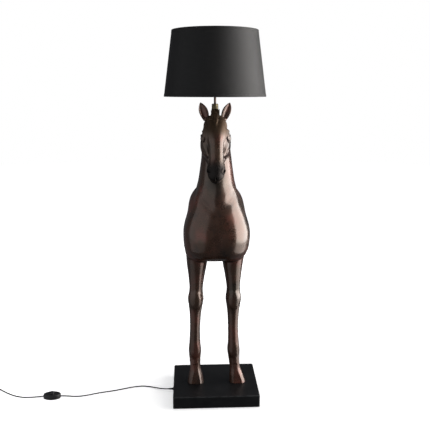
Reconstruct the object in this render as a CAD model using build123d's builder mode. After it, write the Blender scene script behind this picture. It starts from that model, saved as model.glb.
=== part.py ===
from build123d import *
from math import cos, pi, radians, sin, sqrt, tan
import os

# Floor lamp: the front half of a standing foal in bronze-finished casting, on a black plinth,
# carrying a tapered black drum shade. Millimetres, +Z up, the viewer stands at -Y.
# The origin is on the stem's axis at floor level.

# ---------------------------------------------------------------- driving dimensions
FOOT_HEIGHT = 3.0                      # rubber feet
PLINTH_WIDTH, PLINTH_DEPTH = 366.0, 306.0
PLINTH_TOP = 54.0
PLINTH_WALL = 14.0
PLINTH_ROOF = 10.0
COVER_THICKNESS = 4.0
FIT = 0.3                              # general assembly gap
SNUG = 0.05                            # gap round a screw, a rod or the lead

SEAM_HEIGHT = 602.0                    # where the legs meet the torso casting
CASTING_WALL = 9.0
LEG_ROD_RADIUS = 6.0
LEG_ROD_TOP = 640.0
LEFT_ROD_X, RIGHT_ROD_X, ROD_Y = -84.0, 80.0, -10.0

TUFT_TOP = 1236.0
COLLAR_TOP = 1258.0
STEM_RADIUS = 4.8
STEM_BORE = 3.6
STEM_BOTTOM, STEM_TOP = 1140.0, 1302.0

SHADE_BOTTOM, SHADE_TOP = 1286.0, 1542.0
SHADE_LOW_RADIUS, SHADE_HIGH_RADIUS = 205.0, 171.0
COVER_FABRIC, LINING = 0.8, 1.0
WIRE_RADIUS = 1.6
SHOULDER_TOP = 1321.0                  # the holder's flange that carries the shade

CORD_DIAMETER = 5.2
CORD_RADIUS = CORD_DIAMETER / 2
EXIT_HEIGHT = 14.0
GLAND_TIP_X = -207.0

SWITCH_X, SWITCH_Y, SWITCH_HALF = -711.0, -30.0, 36.0
SWITCH_SEAM, SWITCH_HEIGHT = 8.0, 20.0
BUTTON_RADIUS, BUTTON_TOP = 11.0, 27.0

COIL_X, COIL_Y = -1038.5, 73.5
COIL_RADII = (24.6, 30.0, 35.4)        # centre lines of the turns in one layer
COIL_LAYERS = (3.6, 9.0)
PLUG_X, PLUG_BACK_Y, PLUG_HEIGHT = -1080.0, 24.0, 7.0
PIN_RADIUS, PIN_LENGTH, PIN_SPACING = 2.0, 19.0, 18.6
PIN_SLEEVE_LENGTH, PIN_SLEEVE_RADIUS, PIN_CORE_RADIUS = 10.0, 1.6, 1.1
PIN_TIP_ROUNDING = 1.0

os.makedirs("parts", exist_ok=True)


def bend_radii(points):
    """Largest arc at each corner of a route: 0.45 of the shorter run over tan(half turn)."""
    radii = []
    for before, corner, after in zip(points, points[1:], points[2:]):
        run_in = Vector(*corner) - Vector(*before)
        run_out = Vector(*after) - Vector(*corner)
        half_turn = radians(run_in.get_angle(run_out)) / 2
        radii.append(0.45 * min(run_in.length, run_out.length) / tan(half_turn))
    return radii


def report_tube(label, points, part):
    """Print a tube's radii, and its volume against section times length."""
    radii = bend_radii(points)
    path = FilletPolyline(*points, radius=radii)
    expected = pi * CORD_RADIUS ** 2 * path.length
    print(f"{label}: length {path.length:.0f}, tightest {min(radii):.1f},"
          f" radii {[round(r) for r in radii]}, volume/expected {part.volume / expected:.4f}")


def conical_shell(z0, r0, z1, r1, outside, thickness):
    """Profile of a wall that leans inwards, measured in from the outer slope."""
    outer_low, outer_high = r0 - outside, r1 - outside
    return [(outer_low, z0), (outer_high, z1), (outer_high - thickness, z1), (outer_low - thickness, z0)]


# ---------------------------------------------------------------- plinth
CAVITY_WIDTH = PLINTH_WIDTH - 2 * PLINTH_WALL
CAVITY_DEPTH = PLINTH_DEPTH - 2 * PLINTH_WALL
ROOF_UNDERSIDE = PLINTH_TOP - PLINTH_ROOF
COVER_TOP = FOOT_HEIGHT + COVER_THICKNESS
POST = 24.0                            # square corner posts that take the cover screws
POST_X = CAVITY_WIDTH / 2 - POST / 2
POST_Y = CAVITY_DEPTH / 2 - POST / 2
BALLAST_SIZE = (280.0, 80.0, 16.0)
BALLAST_Y = 92.0
BALLAST_BOTTOM = ROOF_UNDERSIDE - BALLAST_SIZE[2]
BALLAST_SCREW_X = 110.0
SCREW_RADIUS, SCREW_HEAD_RADIUS, SCREW_HEAD = 2.5, 5.0, 3.0

with BuildPart() as plinth:
    with BuildSketch(Plane.XY.offset(FOOT_HEIGHT)):
        Rectangle(PLINTH_WIDTH, PLINTH_DEPTH)
    extrude(amount=PLINTH_TOP - FOOT_HEIGHT)
    fillet(plinth.edges().filter_by(Axis.Z), radius=6)
    fillet(plinth.faces().sort_by(Axis.Z)[-1].edges(), radius=4)
    with BuildSketch(Plane.XY.offset(FOOT_HEIGHT)):
        Rectangle(CAVITY_WIDTH, CAVITY_DEPTH)
    extrude(amount=ROOF_UNDERSIDE - FOOT_HEIGHT, mode=Mode.SUBTRACT)
    with BuildSketch(Plane.XY.offset(COVER_TOP)):
        with GridLocations(2 * POST_X, 2 * POST_Y, 2, 2):
            Rectangle(POST, POST)
    extrude(amount=ROOF_UNDERSIDE - COVER_TOP)
    with BuildSketch(Plane.XY.offset(COVER_TOP)):
        with GridLocations(2 * POST_X, 2 * POST_Y, 2, 2):
            Circle(SCREW_RADIUS + SNUG)
    extrude(amount=16, mode=Mode.SUBTRACT)
    with BuildSketch(Plane.XY.offset(ROOF_UNDERSIDE)):
        with GridLocations(2 * BALLAST_SCREW_X, 2 * BALLAST_Y, 2, 2):
            Circle(SCREW_RADIUS + SNUG)
    extrude(amount=6, mode=Mode.SUBTRACT)
    with BuildSketch(Plane.XY.offset(ROOF_UNDERSIDE)):
        with Locations((LEFT_ROD_X, ROD_Y), (RIGHT_ROD_X, ROD_Y)):
            Circle(LEG_ROD_RADIUS + FIT)
    extrude(amount=PLINTH_ROOF, mode=Mode.SUBTRACT)
    with BuildSketch(Plane.YZ.offset(-PLINTH_WIDTH / 2)):
        with Locations((0, EXIT_HEIGHT)):
            Circle(4.5 + SNUG)
    extrude(amount=PLINTH_WALL, mode=Mode.SUBTRACT)


def ballast_bar(centre_y):
    """Iron bar screwed up against the plinth's roof."""
    with BuildPart() as bar:
        with BuildSketch(Plane.XY.offset(BALLAST_BOTTOM)):
            with Locations((0, centre_y)):
                Rectangle(BALLAST_SIZE[0], BALLAST_SIZE[1])
        extrude(amount=BALLAST_SIZE[2])
        chamfer(bar.edges().filter_by(Axis.Z), length=3)
        with BuildSketch(Plane.XY.offset(BALLAST_BOTTOM)):
            with Locations((-BALLAST_SCREW_X, centre_y), (BALLAST_SCREW_X, centre_y)):
                Circle(SCREW_RADIUS + SNUG)
        extrude(amount=BALLAST_SIZE[2], mode=Mode.SUBTRACT)
    return bar


ballast_front = ballast_bar(-BALLAST_Y)
ballast_rear = ballast_bar(BALLAST_Y)


def screw_set(head_z, head_height, shank_top, spacing_x, spacing_y):
    """Four pan-head screws driven upwards, on a rectangle round the axis."""
    with BuildPart() as screws:
        with BuildSketch(Plane.XY.offset(head_z)):
            with GridLocations(spacing_x, spacing_y, 2, 2):
                Circle(SCREW_HEAD_RADIUS)
        extrude(amount=head_height)
        with BuildSketch(Plane.XY.offset(head_z + head_height)):
            with GridLocations(spacing_x, spacing_y, 2, 2):
                Circle(SCREW_RADIUS)
        extrude(amount=shank_top - head_z - head_height)
    return screws


ballast_screws = screw_set(BALLAST_BOTTOM - SCREW_HEAD, SCREW_HEAD, ROOF_UNDERSIDE + 5,
                           2 * BALLAST_SCREW_X, 2 * BALLAST_Y)
COVER_SCREW_RECESS = 2.0
cover_screws = screw_set(FOOT_HEIGHT, COVER_SCREW_RECESS, COVER_TOP + 14, 2 * POST_X, 2 * POST_Y)

CLAMP_X, CLAMP_SCREW_OFFSET = -114.0, 10.0
with BuildPart() as plinth_cover:
    with BuildSketch(Plane.XY.offset(FOOT_HEIGHT)):
        Rectangle(CAVITY_WIDTH - 2 * FIT, CAVITY_DEPTH - 2 * FIT)
    extrude(amount=COVER_THICKNESS)
    with BuildSketch(Plane.XY.offset(FOOT_HEIGHT)):
        with GridLocations(2 * POST_X, 2 * POST_Y, 2, 2):
            Circle(SCREW_HEAD_RADIUS + SNUG)
    extrude(amount=COVER_SCREW_RECESS, mode=Mode.SUBTRACT)
    with BuildSketch(Plane.XY.offset(FOOT_HEIGHT)):
        with GridLocations(2 * POST_X, 2 * POST_Y, 2, 2):
            Circle(SCREW_RADIUS + SNUG)
        with Locations((CLAMP_X, ROD_Y)):
            with GridLocations(1, 2 * CLAMP_SCREW_OFFSET, 1, 2):
                Circle(1.5 + SNUG)
    extrude(amount=COVER_THICKNESS, mode=Mode.SUBTRACT)

FOOT_RADIUS = 11.0
FOOT_X, FOOT_Y = 128.0, 122.0
with BuildPart() as rubber_feet:
    with BuildSketch(Plane.XY):
        with GridLocations(2 * FOOT_X, 2 * FOOT_Y, 2, 2):
            Circle(FOOT_RADIUS)
    extrude(amount=FOOT_HEIGHT)

# ---------------------------------------------------------------- mains entry
with BuildPart() as cord_gland:
    with BuildSketch(Plane.XZ):
        with BuildLine():
            Polyline((GLAND_TIP_X, EXIT_HEIGHT + CORD_RADIUS + SNUG), (GLAND_TIP_X, EXIT_HEIGHT + 3.3),
                     (-186.0, EXIT_HEIGHT + 5.0), (-186.0, EXIT_HEIGHT + 6.5),
                     (-183.0, EXIT_HEIGHT + 6.5), (-183.0, EXIT_HEIGHT + 4.5),
                     (-169.0, EXIT_HEIGHT + 4.5), (-169.0, EXIT_HEIGHT + 6.5),
                     (-166.0, EXIT_HEIGHT + 6.5), (-166.0, EXIT_HEIGHT + CORD_RADIUS + SNUG), close=True)
        make_face()
    revolve(axis=Axis((0, 0, EXIT_HEIGHT), (1, 0, 0)))

with BuildPart() as cable_clamp:
    with BuildSketch(Plane.YZ.offset(CLAMP_X)):
        with BuildLine():
            Polyline((ROD_Y - 15, COVER_TOP), (ROD_Y - 15, COVER_TOP + 2), (ROD_Y - 5, COVER_TOP + 2),
                     (ROD_Y - 5, COVER_TOP + 7.5), (ROD_Y + 5, COVER_TOP + 7.5), (ROD_Y + 5, COVER_TOP + 2),
                     (ROD_Y + 15, COVER_TOP + 2), (ROD_Y + 15, COVER_TOP), (ROD_Y + 2.8, COVER_TOP),
                     (ROD_Y + 2.8, COVER_TOP + 5.5), (ROD_Y - 2.8, COVER_TOP + 5.5),
                     (ROD_Y - 2.8, COVER_TOP), close=True)
        make_face()
    extrude(amount=5, both=True)
    with BuildSketch(Plane.XY.offset(COVER_TOP)):
        with Locations((CLAMP_X, ROD_Y)):
            with GridLocations(1, 2 * CLAMP_SCREW_OFFSET, 1, 2):
                Circle(1.5 + SNUG)
    extrude(amount=2, mode=Mode.SUBTRACT)

with BuildPart() as clamp_screws:
    with BuildSketch(Plane.XY.offset(COVER_TOP + 2)):
        with Locations((CLAMP_X, ROD_Y)):
            with GridLocations(1, 2 * CLAMP_SCREW_OFFSET, 1, 2):
                Circle(3)
    extrude(amount=2)
    with BuildSketch(Plane.XY.offset(FOOT_HEIGHT + 0.5)):
        with Locations((CLAMP_X, ROD_Y)):
            with GridLocations(1, 2 * CLAMP_SCREW_OFFSET, 1, 2):
                Circle(1.5)
    extrude(amount=COVER_TOP + 2 - FOOT_HEIGHT - 0.5)

# ---------------------------------------------------------------- legs
# height, half width, half depth, centre y, left leg's centre x, right leg's centre x
LEG_STATIONS = [
    (PLINTH_TOP, 33.0, 34.0, -14.0, -86.0, 98.0),
    (70.0, 30.5, 32.0, -13.0, -86.0, 96.0),
    (94.0, 26.5, 28.0, -11.0, -86.5, 91.0),
    (122.0, 22.5, 23.0, -6.0, -87.0, 87.0),
    (160.0, 24.0, 26.0, -2.0, -88.0, 82.5),
    (198.0, 26.5, 31.0, 0.0, -88.0, 81.0),
    (235.0, 24.0, 26.5, -3.0, -88.0, 79.5),
    (290.0, 22.2, 24.5, -5.0, -87.5, 77.8),
    (346.0, 23.5, 26.0, -6.0, -86.0, 77.8),
    (400.0, 29.0, 32.0, -9.0, -84.0, 78.3),
    (437.0, 31.5, 35.5, -11.0, -83.0, 78.6),
    (475.0, 29.0, 35.0, -7.0, -81.5, 78.2),
    (526.0, 33.5, 46.0, -3.0, -79.5, 77.4),
    (579.0, 41.0, 60.0, 4.0, -77.5, 76.5),
    (SEAM_HEIGHT, 44.0, 66.0, 8.0, -77.0, 76.0),
]


def leg(side_column, rod_x):
    """One foreleg and hoof, lofted up its stations and bored for its rod."""
    with BuildPart() as casting:
        for station in LEG_STATIONS:
            height, half_width, half_depth, centre_y = station[:4]
            with BuildSketch(Plane.XY.offset(height)):
                with Locations((station[side_column], centre_y)):
                    Ellipse(half_width, half_depth)
        loft()
        with BuildSketch(Plane.XY.offset(PLINTH_TOP)):
            with Locations((rod_x, ROD_Y)):
                Circle(LEG_ROD_RADIUS + FIT)
        extrude(amount=SEAM_HEIGHT - PLINTH_TOP, mode=Mode.SUBTRACT)
    return casting


leg_left = leg(4, LEFT_ROD_X)
leg_right = leg(5, RIGHT_ROD_X)

ROD_BOTTOM = 31.0
LEG_BORE = 4.2                         # the left rod is a tube that carries the lead
with BuildPart() as leg_tube_left:
    with BuildSketch(Plane.XY.offset(ROD_BOTTOM)):
        with Locations((LEFT_ROD_X, ROD_Y)):
            Circle(LEG_ROD_RADIUS)
            Circle(LEG_BORE, mode=Mode.SUBTRACT)
    extrude(amount=LEG_ROD_TOP - ROD_BOTTOM)

with BuildPart() as leg_rod_right:
    with BuildSketch(Plane.XY.offset(ROD_BOTTOM)):
        with Locations((RIGHT_ROD_X, ROD_Y)):
            Circle(LEG_ROD_RADIUS)
    extrude(amount=LEG_ROD_TOP - ROD_BOTTOM)
    chamfer(leg_rod_right.edges().filter_by(GeomType.CIRCLE), length=1)

WASHER_THICKNESS, NUT_THICKNESS = 2.0, 8.0
TORSO_FLOOR = SEAM_HEIGHT + 10.0       # inside of the torso casting's floor
with BuildPart() as leg_washers:
    for bottom in (ROOF_UNDERSIDE - WASHER_THICKNESS, TORSO_FLOOR):
        with BuildSketch(Plane.XY.offset(bottom)):
            with Locations((LEFT_ROD_X, ROD_Y), (RIGHT_ROD_X, ROD_Y)):
                Circle(12)
                Circle(LEG_ROD_RADIUS + FIT, mode=Mode.SUBTRACT)
        extrude(amount=WASHER_THICKNESS)

with BuildPart() as leg_nuts:
    for bottom in (ROOF_UNDERSIDE - WASHER_THICKNESS - NUT_THICKNESS, TORSO_FLOOR + WASHER_THICKNESS):
        with BuildSketch(Plane.XY.offset(bottom)):
            with Locations((LEFT_ROD_X, ROD_Y), (RIGHT_ROD_X, ROD_Y)):
                RegularPolygon(10.5, 6)
                Circle(LEG_ROD_RADIUS + SNUG, mode=Mode.SUBTRACT)
        extrude(amount=NUT_THICKNESS)

# ---------------------------------------------------------------- torso and neck
# height, half width, half depth, centre y
TORSO_STATIONS = [
    (SEAM_HEIGHT, 121.0, 82.0, 10.0),
    (622.0, 127.0, 104.0, 10.0),
    (655.0, 135.0, 124.0, 9.0),
    (700.0, 143.5, 138.0, 9.0),
    (745.0, 142.0, 144.0, 11.0),
    (800.0, 129.0, 140.0, 16.0),
    (855.0, 113.0, 128.0, 22.0),
    (900.0, 93.0, 112.0, 24.0),
    (945.0, 77.0, 100.0, 22.0),
    (1005.0, 67.5, 86.0, 16.0),
    (1070.0, 60.0, 72.0, 10.0),
    (1130.0, 54.0, 58.0, 8.0),
    (1178.0, 46.0, 44.0, 8.0),
    (1204.0, 28.0, 26.0, 8.0),
]
NECK_CUT = Plane(origin=(0, -10, 1120), x_dir=(1, 0, 0), z_dir=(0, -0.85, 0.52))
CREST_THICKNESS = 18.0                 # short upright mane down the back of the neck

with BuildPart() as torso:
    for height, half_width, half_depth, centre_y in TORSO_STATIONS:
        with BuildSketch(Plane.XY.offset(height)):
            with Locations((0, centre_y)):
                Ellipse(half_width, half_depth)
    loft()
    with BuildSketch(Plane.YZ):
        with BuildLine():
            crest_back = Spline((26, 1224), (70, 1190), (92, 1120), (120, 1020), (147, 915))
            crest_foot = Line(crest_back @ 1, (110, 900))
            crest_front = Line(crest_foot @ 1, (20, 1190))
            Line(crest_front @ 1, crest_back @ 0)
        make_face()
    extrude(amount=CREST_THICKNESS / 2, both=True)
    for height, half_width, half_depth, centre_y in TORSO_STATIONS[:-1]:
        with BuildSketch(Plane.XY.offset(max(height, TORSO_FLOOR))):
            with Locations((0, centre_y)):
                Ellipse(half_width - CASTING_WALL, half_depth - CASTING_WALL)
    loft(mode=Mode.SUBTRACT)
    with BuildSketch(Plane.XY.offset(SEAM_HEIGHT)):
        with Locations((LEFT_ROD_X, ROD_Y), (RIGHT_ROD_X, ROD_Y)):
            Circle(LEG_ROD_RADIUS + FIT)
    extrude(amount=TORSO_FLOOR - SEAM_HEIGHT, mode=Mode.SUBTRACT)
    split(bisect_by=NECK_CUT, keep=Keep.BOTTOM)

# ---------------------------------------------------------------- head
POLL = Vector(0, -12, 1212)
MUZZLE = Vector(0, -146, 958)
FACE_LENGTH = (MUZZLE - POLL).length
FACE_AXIS = (MUZZLE - POLL).normalized()
# distance down the face, half width, half depth, shift towards the front of the face
HEAD_STATIONS = [
    (0.0, 32.0, 34.0, 0.0),
    (20.0, 44.0, 46.0, -2.0),
    (50.0, 52.0, 56.0, -4.0),
    (85.0, 60.0, 62.0, -6.0),
    (120.0, 60.0, 62.0, -8.0),
    (150.0, 54.0, 56.0, -6.0),
    (182.0, 40.0, 45.0, -2.0),
    (212.0, 33.0, 37.0, 0.0),
    (242.0, 33.0, 36.0, -1.0),
    (266.0, 29.0, 30.0, -3.0),
    (FACE_LENGTH, 14.0, 14.0, -6.0),
]
STEM_POCKET_ROOF = 1162.0
with BuildPart() as head:
    for distance, half_width, half_depth, shift in HEAD_STATIONS:
        station_plane = Plane(origin=POLL + FACE_AXIS * distance, x_dir=(1, 0, 0), z_dir=FACE_AXIS)
        with BuildSketch(station_plane):
            with Locations((0, shift)):
                Ellipse(half_width, half_depth)
    loft()
    with BuildSketch(Plane.XZ):
        with BuildLine():
            Polyline((0, 1180), (30, 1180), (24, 1208), (17, 1222), (14, TUFT_TOP), (0, TUFT_TOP), close=True)
        make_face()
    revolve(axis=Axis.Z)
    split(bisect_by=NECK_CUT, keep=Keep.TOP)
    with BuildSketch(Plane.XY.offset(TUFT_TOP)):
        Circle(STEM_RADIUS + SNUG)
    extrude(amount=STEM_BOTTOM - TUFT_TOP, mode=Mode.SUBTRACT)
    with BuildSketch(Plane.XY.offset(STEM_POCKET_ROOF)):
        Circle(13)
    extrude(amount=-60, mode=Mode.SUBTRACT)

EAR_THICKNESS = 9.0


def ear(outer_side, tip, inner_side, base_y):
    """Leaf-shaped ear standing on the poll, trimmed to the head and neck."""
    with BuildPart() as leaf:
        with BuildSketch(Plane.XZ.offset(-base_y)):
            with BuildLine():
                outer_edge = Spline(*outer_side, tip)
                inner_edge = Spline(tip, *inner_side)
                Line(inner_edge @ 1, outer_edge @ 0)
            make_face()
        extrude(amount=EAR_THICKNESS)
        add(head.part, mode=Mode.SUBTRACT)
        add(torso.part, mode=Mode.SUBTRACT)
        kept = leaf.part.solids().sort_by(Axis.Z)[-1]
    return kept


ear_left = ear([(-40, 1190), (-57, 1213), (-66, 1233)], (-58, 1262), [(-42, 1247), (-31, 1229), (-26, 1196)], 8)
ear_right = ear([(40, 1190), (55, 1213), (64, 1233)], (60, 1261), [(45, 1252), (29, 1232), (22, 1200)], 8)

# ---------------------------------------------------------------- stem
with BuildPart() as stem_tube:
    with BuildSketch(Plane.XY.offset(STEM_BOTTOM)):
        Circle(STEM_RADIUS)
        Circle(STEM_BORE, mode=Mode.SUBTRACT)
    extrude(amount=STEM_TOP - STEM_BOTTOM)

with BuildPart() as stem_washer:
    with BuildSketch(Plane.XY.offset(STEM_POCKET_ROOF - 1.5)):
        Circle(10)
        Circle(STEM_RADIUS + SNUG, mode=Mode.SUBTRACT)
    extrude(amount=1.5)

with BuildPart() as stem_nut:
    with BuildSketch(Plane.XY.offset(STEM_POCKET_ROOF - 1.5 - 6)):
        RegularPolygon(9, 6)
        Circle(STEM_RADIUS + SNUG, mode=Mode.SUBTRACT)
    extrude(amount=6)

with BuildPart() as stem_collar:
    with BuildSketch(Plane.XZ):
        with BuildLine():
            Polyline((STEM_RADIUS + SNUG, TUFT_TOP), (14.2, TUFT_TOP), (13.6, TUFT_TOP + 3),
                     (13.0, COLLAR_TOP - 2), (11.5, COLLAR_TOP), (STEM_RADIUS + SNUG, COLLAR_TOP), close=True)
        make_face()
    revolve(axis=Axis.Z)

# ---------------------------------------------------------------- lamp holder and bulb
CAP_BOTTOM, CAP_TOP = 1292.0, 1310.0
BODY_TOP = 1352.0
BODY_RADIUS, BODY_WALL = 19.5, 2.0
INSERT_TOP = 1322.0
with BuildPart() as holder_cap:
    with BuildSketch(Plane.XZ):
        with BuildLine():
            Polyline((STEM_RADIUS + SNUG, CAP_BOTTOM), (9.0, CAP_BOTTOM), (15.0, CAP_BOTTOM + 5),
                     (BODY_RADIUS, CAP_TOP - 4), (BODY_RADIUS, CAP_TOP), (BODY_RADIUS - 2, CAP_TOP),
                     (BODY_RADIUS - 2, CAP_TOP - 3), (14.0, CAP_BOTTOM + 8), (9.0, CAP_BOTTOM + 5),
                     (STEM_RADIUS + SNUG, CAP_BOTTOM + 5), close=True)
        make_face()
    revolve(axis=Axis.Z)

with BuildPart() as holder_body:
    with BuildSketch(Plane.XY.offset(CAP_TOP)):
        Circle(BODY_RADIUS)
    extrude(amount=BODY_TOP - CAP_TOP)
    with BuildSketch(Plane.XY.offset(SHOULDER_TOP - 3)):
        Circle(25)
    extrude(amount=3)
    with BuildSketch(Plane.XY.offset(CAP_TOP)):
        Circle(BODY_RADIUS - BODY_WALL)
    extrude(amount=BODY_TOP - CAP_TOP, mode=Mode.SUBTRACT)
    chamfer(holder_body.faces().sort_by(Axis.Z)[-1].edges(), length=0.6)

with BuildPart() as holder_insert:
    with BuildSketch(Plane.XY.offset(CAP_TOP)):
        Circle(BODY_RADIUS - BODY_WALL - SNUG)
        Circle(4, mode=Mode.SUBTRACT)
    extrude(amount=INSERT_TOP - CAP_TOP)

with BuildPart() as contact_tongue:
    with BuildSketch(Plane.XY.offset(CAP_TOP + 2)):
        Circle(4 - SNUG)
    extrude(amount=INSERT_TOP - CAP_TOP - 1)

THREAD_RADIUS = 13.3
with BuildPart() as thread_sleeve:
    with BuildSketch(Plane.XY.offset(INSERT_TOP)):
        Circle(THREAD_RADIUS + 1.2)
        Circle(THREAD_RADIUS, mode=Mode.SUBTRACT)
    extrude(amount=25)

RING_BOTTOM = SHOULDER_TOP + 2.2
with BuildPart() as shade_ring:
    with BuildSketch(Plane.XY.offset(RING_BOTTOM)):
        Circle(26)
        Circle(BODY_RADIUS + SNUG, mode=Mode.SUBTRACT)
    extrude(amount=3)
    with BuildSketch(Plane.XY.offset(RING_BOTTOM + 3)):
        Circle(22.5)
        Circle(BODY_RADIUS + SNUG, mode=Mode.SUBTRACT)
    extrude(amount=6)

BULB_SEAT = INSERT_TOP + 1.0
BULB_CAP_TOP = BULB_SEAT + 27.0
with BuildPart() as bulb_base:
    with BuildSketch(Plane.XZ):
        with BuildLine():
            Polyline((0, BULB_SEAT), (5, BULB_SEAT), (9, BULB_SEAT + 3), (THREAD_RADIUS - 0.3, BULB_SEAT + 5),
                     (THREAD_RADIUS - 0.3, BULB_CAP_TOP), (0, BULB_CAP_TOP), close=True)
        make_face()
    revolve(axis=Axis.Z)

BULB_RADIUS = 30.0
BULB_CENTRE = BULB_CAP_TOP + 50.0
with BuildPart() as bulb_glass:
    with BuildSketch(Plane.XZ):
        with BuildLine():
            neck_side = Spline((13, BULB_CAP_TOP), (15, BULB_CAP_TOP + 12), (BULB_RADIUS, BULB_CENTRE),
                               tangents=[(0, 1), (0, 1)])
            dome = RadiusArc(neck_side @ 1, (0, BULB_CENTRE + BULB_RADIUS), -BULB_RADIUS)
            Polyline(dome @ 1, (0, BULB_CAP_TOP), neck_side @ 0)
        make_face()
    revolve(axis=Axis.Z)

# ---------------------------------------------------------------- shade
with BuildPart() as shade_cover:
    with BuildSketch(Plane.XZ):
        with BuildLine():
            Polyline(*conical_shell(SHADE_BOTTOM, SHADE_LOW_RADIUS, SHADE_TOP, SHADE_HIGH_RADIUS,
                                    0, COVER_FABRIC), close=True)
        make_face()
    revolve(axis=Axis.Z)

with BuildPart() as shade_lining:
    with BuildSketch(Plane.XZ):
        with BuildLine():
            Polyline(*conical_shell(SHADE_BOTTOM, SHADE_LOW_RADIUS, SHADE_TOP, SHADE_HIGH_RADIUS,
                                    COVER_FABRIC, LINING), close=True)
        make_face()
    revolve(axis=Axis.Z)

WALL = COVER_FABRIC + LINING
SLOPE = (SHADE_LOW_RADIUS - SHADE_HIGH_RADIUS) / (SHADE_TOP - SHADE_BOTTOM)
LOW_RING_HEIGHT = SHADE_BOTTOM + 3.0
HIGH_RING_HEIGHT = SHADE_TOP - 3.0
RING_GAP = WIRE_RADIUS + WALL + 0.2
LOW_RING_RADIUS = SHADE_LOW_RADIUS - SLOPE * (LOW_RING_HEIGHT - SHADE_BOTTOM) - RING_GAP
HIGH_RING_RADIUS = SHADE_LOW_RADIUS - SLOPE * (HIGH_RING_HEIGHT - SHADE_BOTTOM) - RING_GAP

with BuildPart() as shade_top_ring:
    with BuildSketch(Plane.XZ):
        with Locations((HIGH_RING_RADIUS, HIGH_RING_HEIGHT)):
            Circle(WIRE_RADIUS)
    revolve(axis=Axis.Z)

FITTER_BOTTOM, FITTER_TOP = SHOULDER_TOP + FIT, SHOULDER_TOP + 1.9
FITTER_MIDDLE = (FITTER_BOTTOM + FITTER_TOP) / 2
with BuildPart() as spoke:
    with BuildLine() as spoke_line:
        FilletPolyline((27, 0, FITTER_MIDDLE), (62, 0, FITTER_MIDDLE), (96, 0, LOW_RING_HEIGHT),
                       (LOW_RING_RADIUS, 0, LOW_RING_HEIGHT), radius=12)
    with BuildSketch(Plane(origin=spoke_line.line @ 0, z_dir=spoke_line.line % 0)):
        Circle(WIRE_RADIUS)
    sweep(path=spoke_line.line)

with BuildPart() as shade_frame:
    with BuildSketch(Plane.XY.offset(FITTER_BOTTOM)):
        Circle(28)
        Circle(21, mode=Mode.SUBTRACT)
    extrude(amount=FITTER_TOP - FITTER_BOTTOM)
    with BuildSketch(Plane.XZ):
        with Locations((LOW_RING_RADIUS, LOW_RING_HEIGHT)):
            Circle(WIRE_RADIUS)
    revolve(axis=Axis.Z)
    with PolarLocations(0, 3, start_angle=90):
        add(spoke.part)

# ---------------------------------------------------------------- foot switch
SWITCH_WIDTH, SWITCH_END, SWITCH_WALL = 23.0, 7.0, 2.2
SWITCH_SCREW_X = 27.0
SWITCH_ORIGIN = Plane(origin=(SWITCH_X, SWITCH_Y, 0))


def lemon_block(bottom, height, inset, taper=0):
    """Block with the switch's plan outline, two bows joined by short flat ends, drawn in by inset."""
    half_length, half_width, half_end = SWITCH_HALF - inset, SWITCH_WIDTH - inset, SWITCH_END - inset
    with BuildPart() as block:
        with BuildSketch(SWITCH_ORIGIN.offset(bottom)):
            with BuildLine():
                back_bow = ThreePointArc((-half_length, half_end), (0, half_width), (half_length, half_end))
                front_bow = ThreePointArc((half_length, -half_end), (0, -half_width), (-half_length, -half_end))
                Line(back_bow @ 1, front_bow @ 0)
                Line(front_bow @ 1, back_bow @ 0)
            make_face()
        extrude(amount=height, taper=taper)
    return block.part


base_outside = lemon_block(0, SWITCH_SEAM, 0)
base_inside = lemon_block(SWITCH_WALL, SWITCH_SEAM - SWITCH_WALL, SWITCH_WALL)
cover_outside = lemon_block(SWITCH_SEAM, SWITCH_HEIGHT - SWITCH_SEAM, 0)
cover_inside = lemon_block(SWITCH_SEAM, SWITCH_HEIGHT - SWITCH_SEAM - SWITCH_WALL - 1.5, SWITCH_WALL, taper=8)

with BuildPart() as switch_base:
    add(base_outside)
    chamfer(switch_base.faces().sort_by(Axis.Z)[0].edges(), length=0.8)
    add(base_inside, mode=Mode.SUBTRACT)
    with BuildSketch(SWITCH_ORIGIN.offset(SWITCH_WALL)):
        with Locations((-SWITCH_SCREW_X, 0), (SWITCH_SCREW_X, 0)):
            Circle(3.6)
    extrude(amount=SWITCH_SEAM - SWITCH_WALL)
    with BuildSketch(SWITCH_ORIGIN):
        with Locations((-SWITCH_SCREW_X, 0), (SWITCH_SCREW_X, 0)):
            Circle(1.5 + SNUG)
    extrude(amount=SWITCH_SEAM, mode=Mode.SUBTRACT)
    with BuildSketch(SWITCH_ORIGIN):
        with Locations((-SWITCH_SCREW_X, 0), (SWITCH_SCREW_X, 0)):
            Circle(2.9 + SNUG)
    extrude(amount=2, mode=Mode.SUBTRACT)

with BuildPart() as switch_cover:
    add(cover_outside)
    fillet(switch_cover.faces().sort_by(Axis.Z)[-1].edges(), radius=3.5)
    add(cover_inside, mode=Mode.SUBTRACT)
    with BuildSketch(SWITCH_ORIGIN.offset(SWITCH_SEAM)):
        Circle(14.0)
    extrude(amount=SWITCH_HEIGHT - SWITCH_SEAM - SWITCH_WALL, mode=Mode.SUBTRACT)
    with BuildSketch(SWITCH_ORIGIN.offset(SWITCH_SEAM)):
        with Locations((-SWITCH_SCREW_X, 0), (SWITCH_SCREW_X, 0)):
            Circle(3.6)
    extrude(amount=9)
    with BuildSketch(SWITCH_ORIGIN.offset(SWITCH_SEAM)):
        with Locations((-SWITCH_SCREW_X, 0), (SWITCH_SCREW_X, 0)):
            Circle(1.5 + SNUG)
    extrude(amount=6, mode=Mode.SUBTRACT)
    with BuildSketch(SWITCH_ORIGIN.offset(SWITCH_SEAM)):
        Circle(BUTTON_RADIUS + FIT)
    extrude(amount=SWITCH_HEIGHT, mode=Mode.SUBTRACT)

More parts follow.
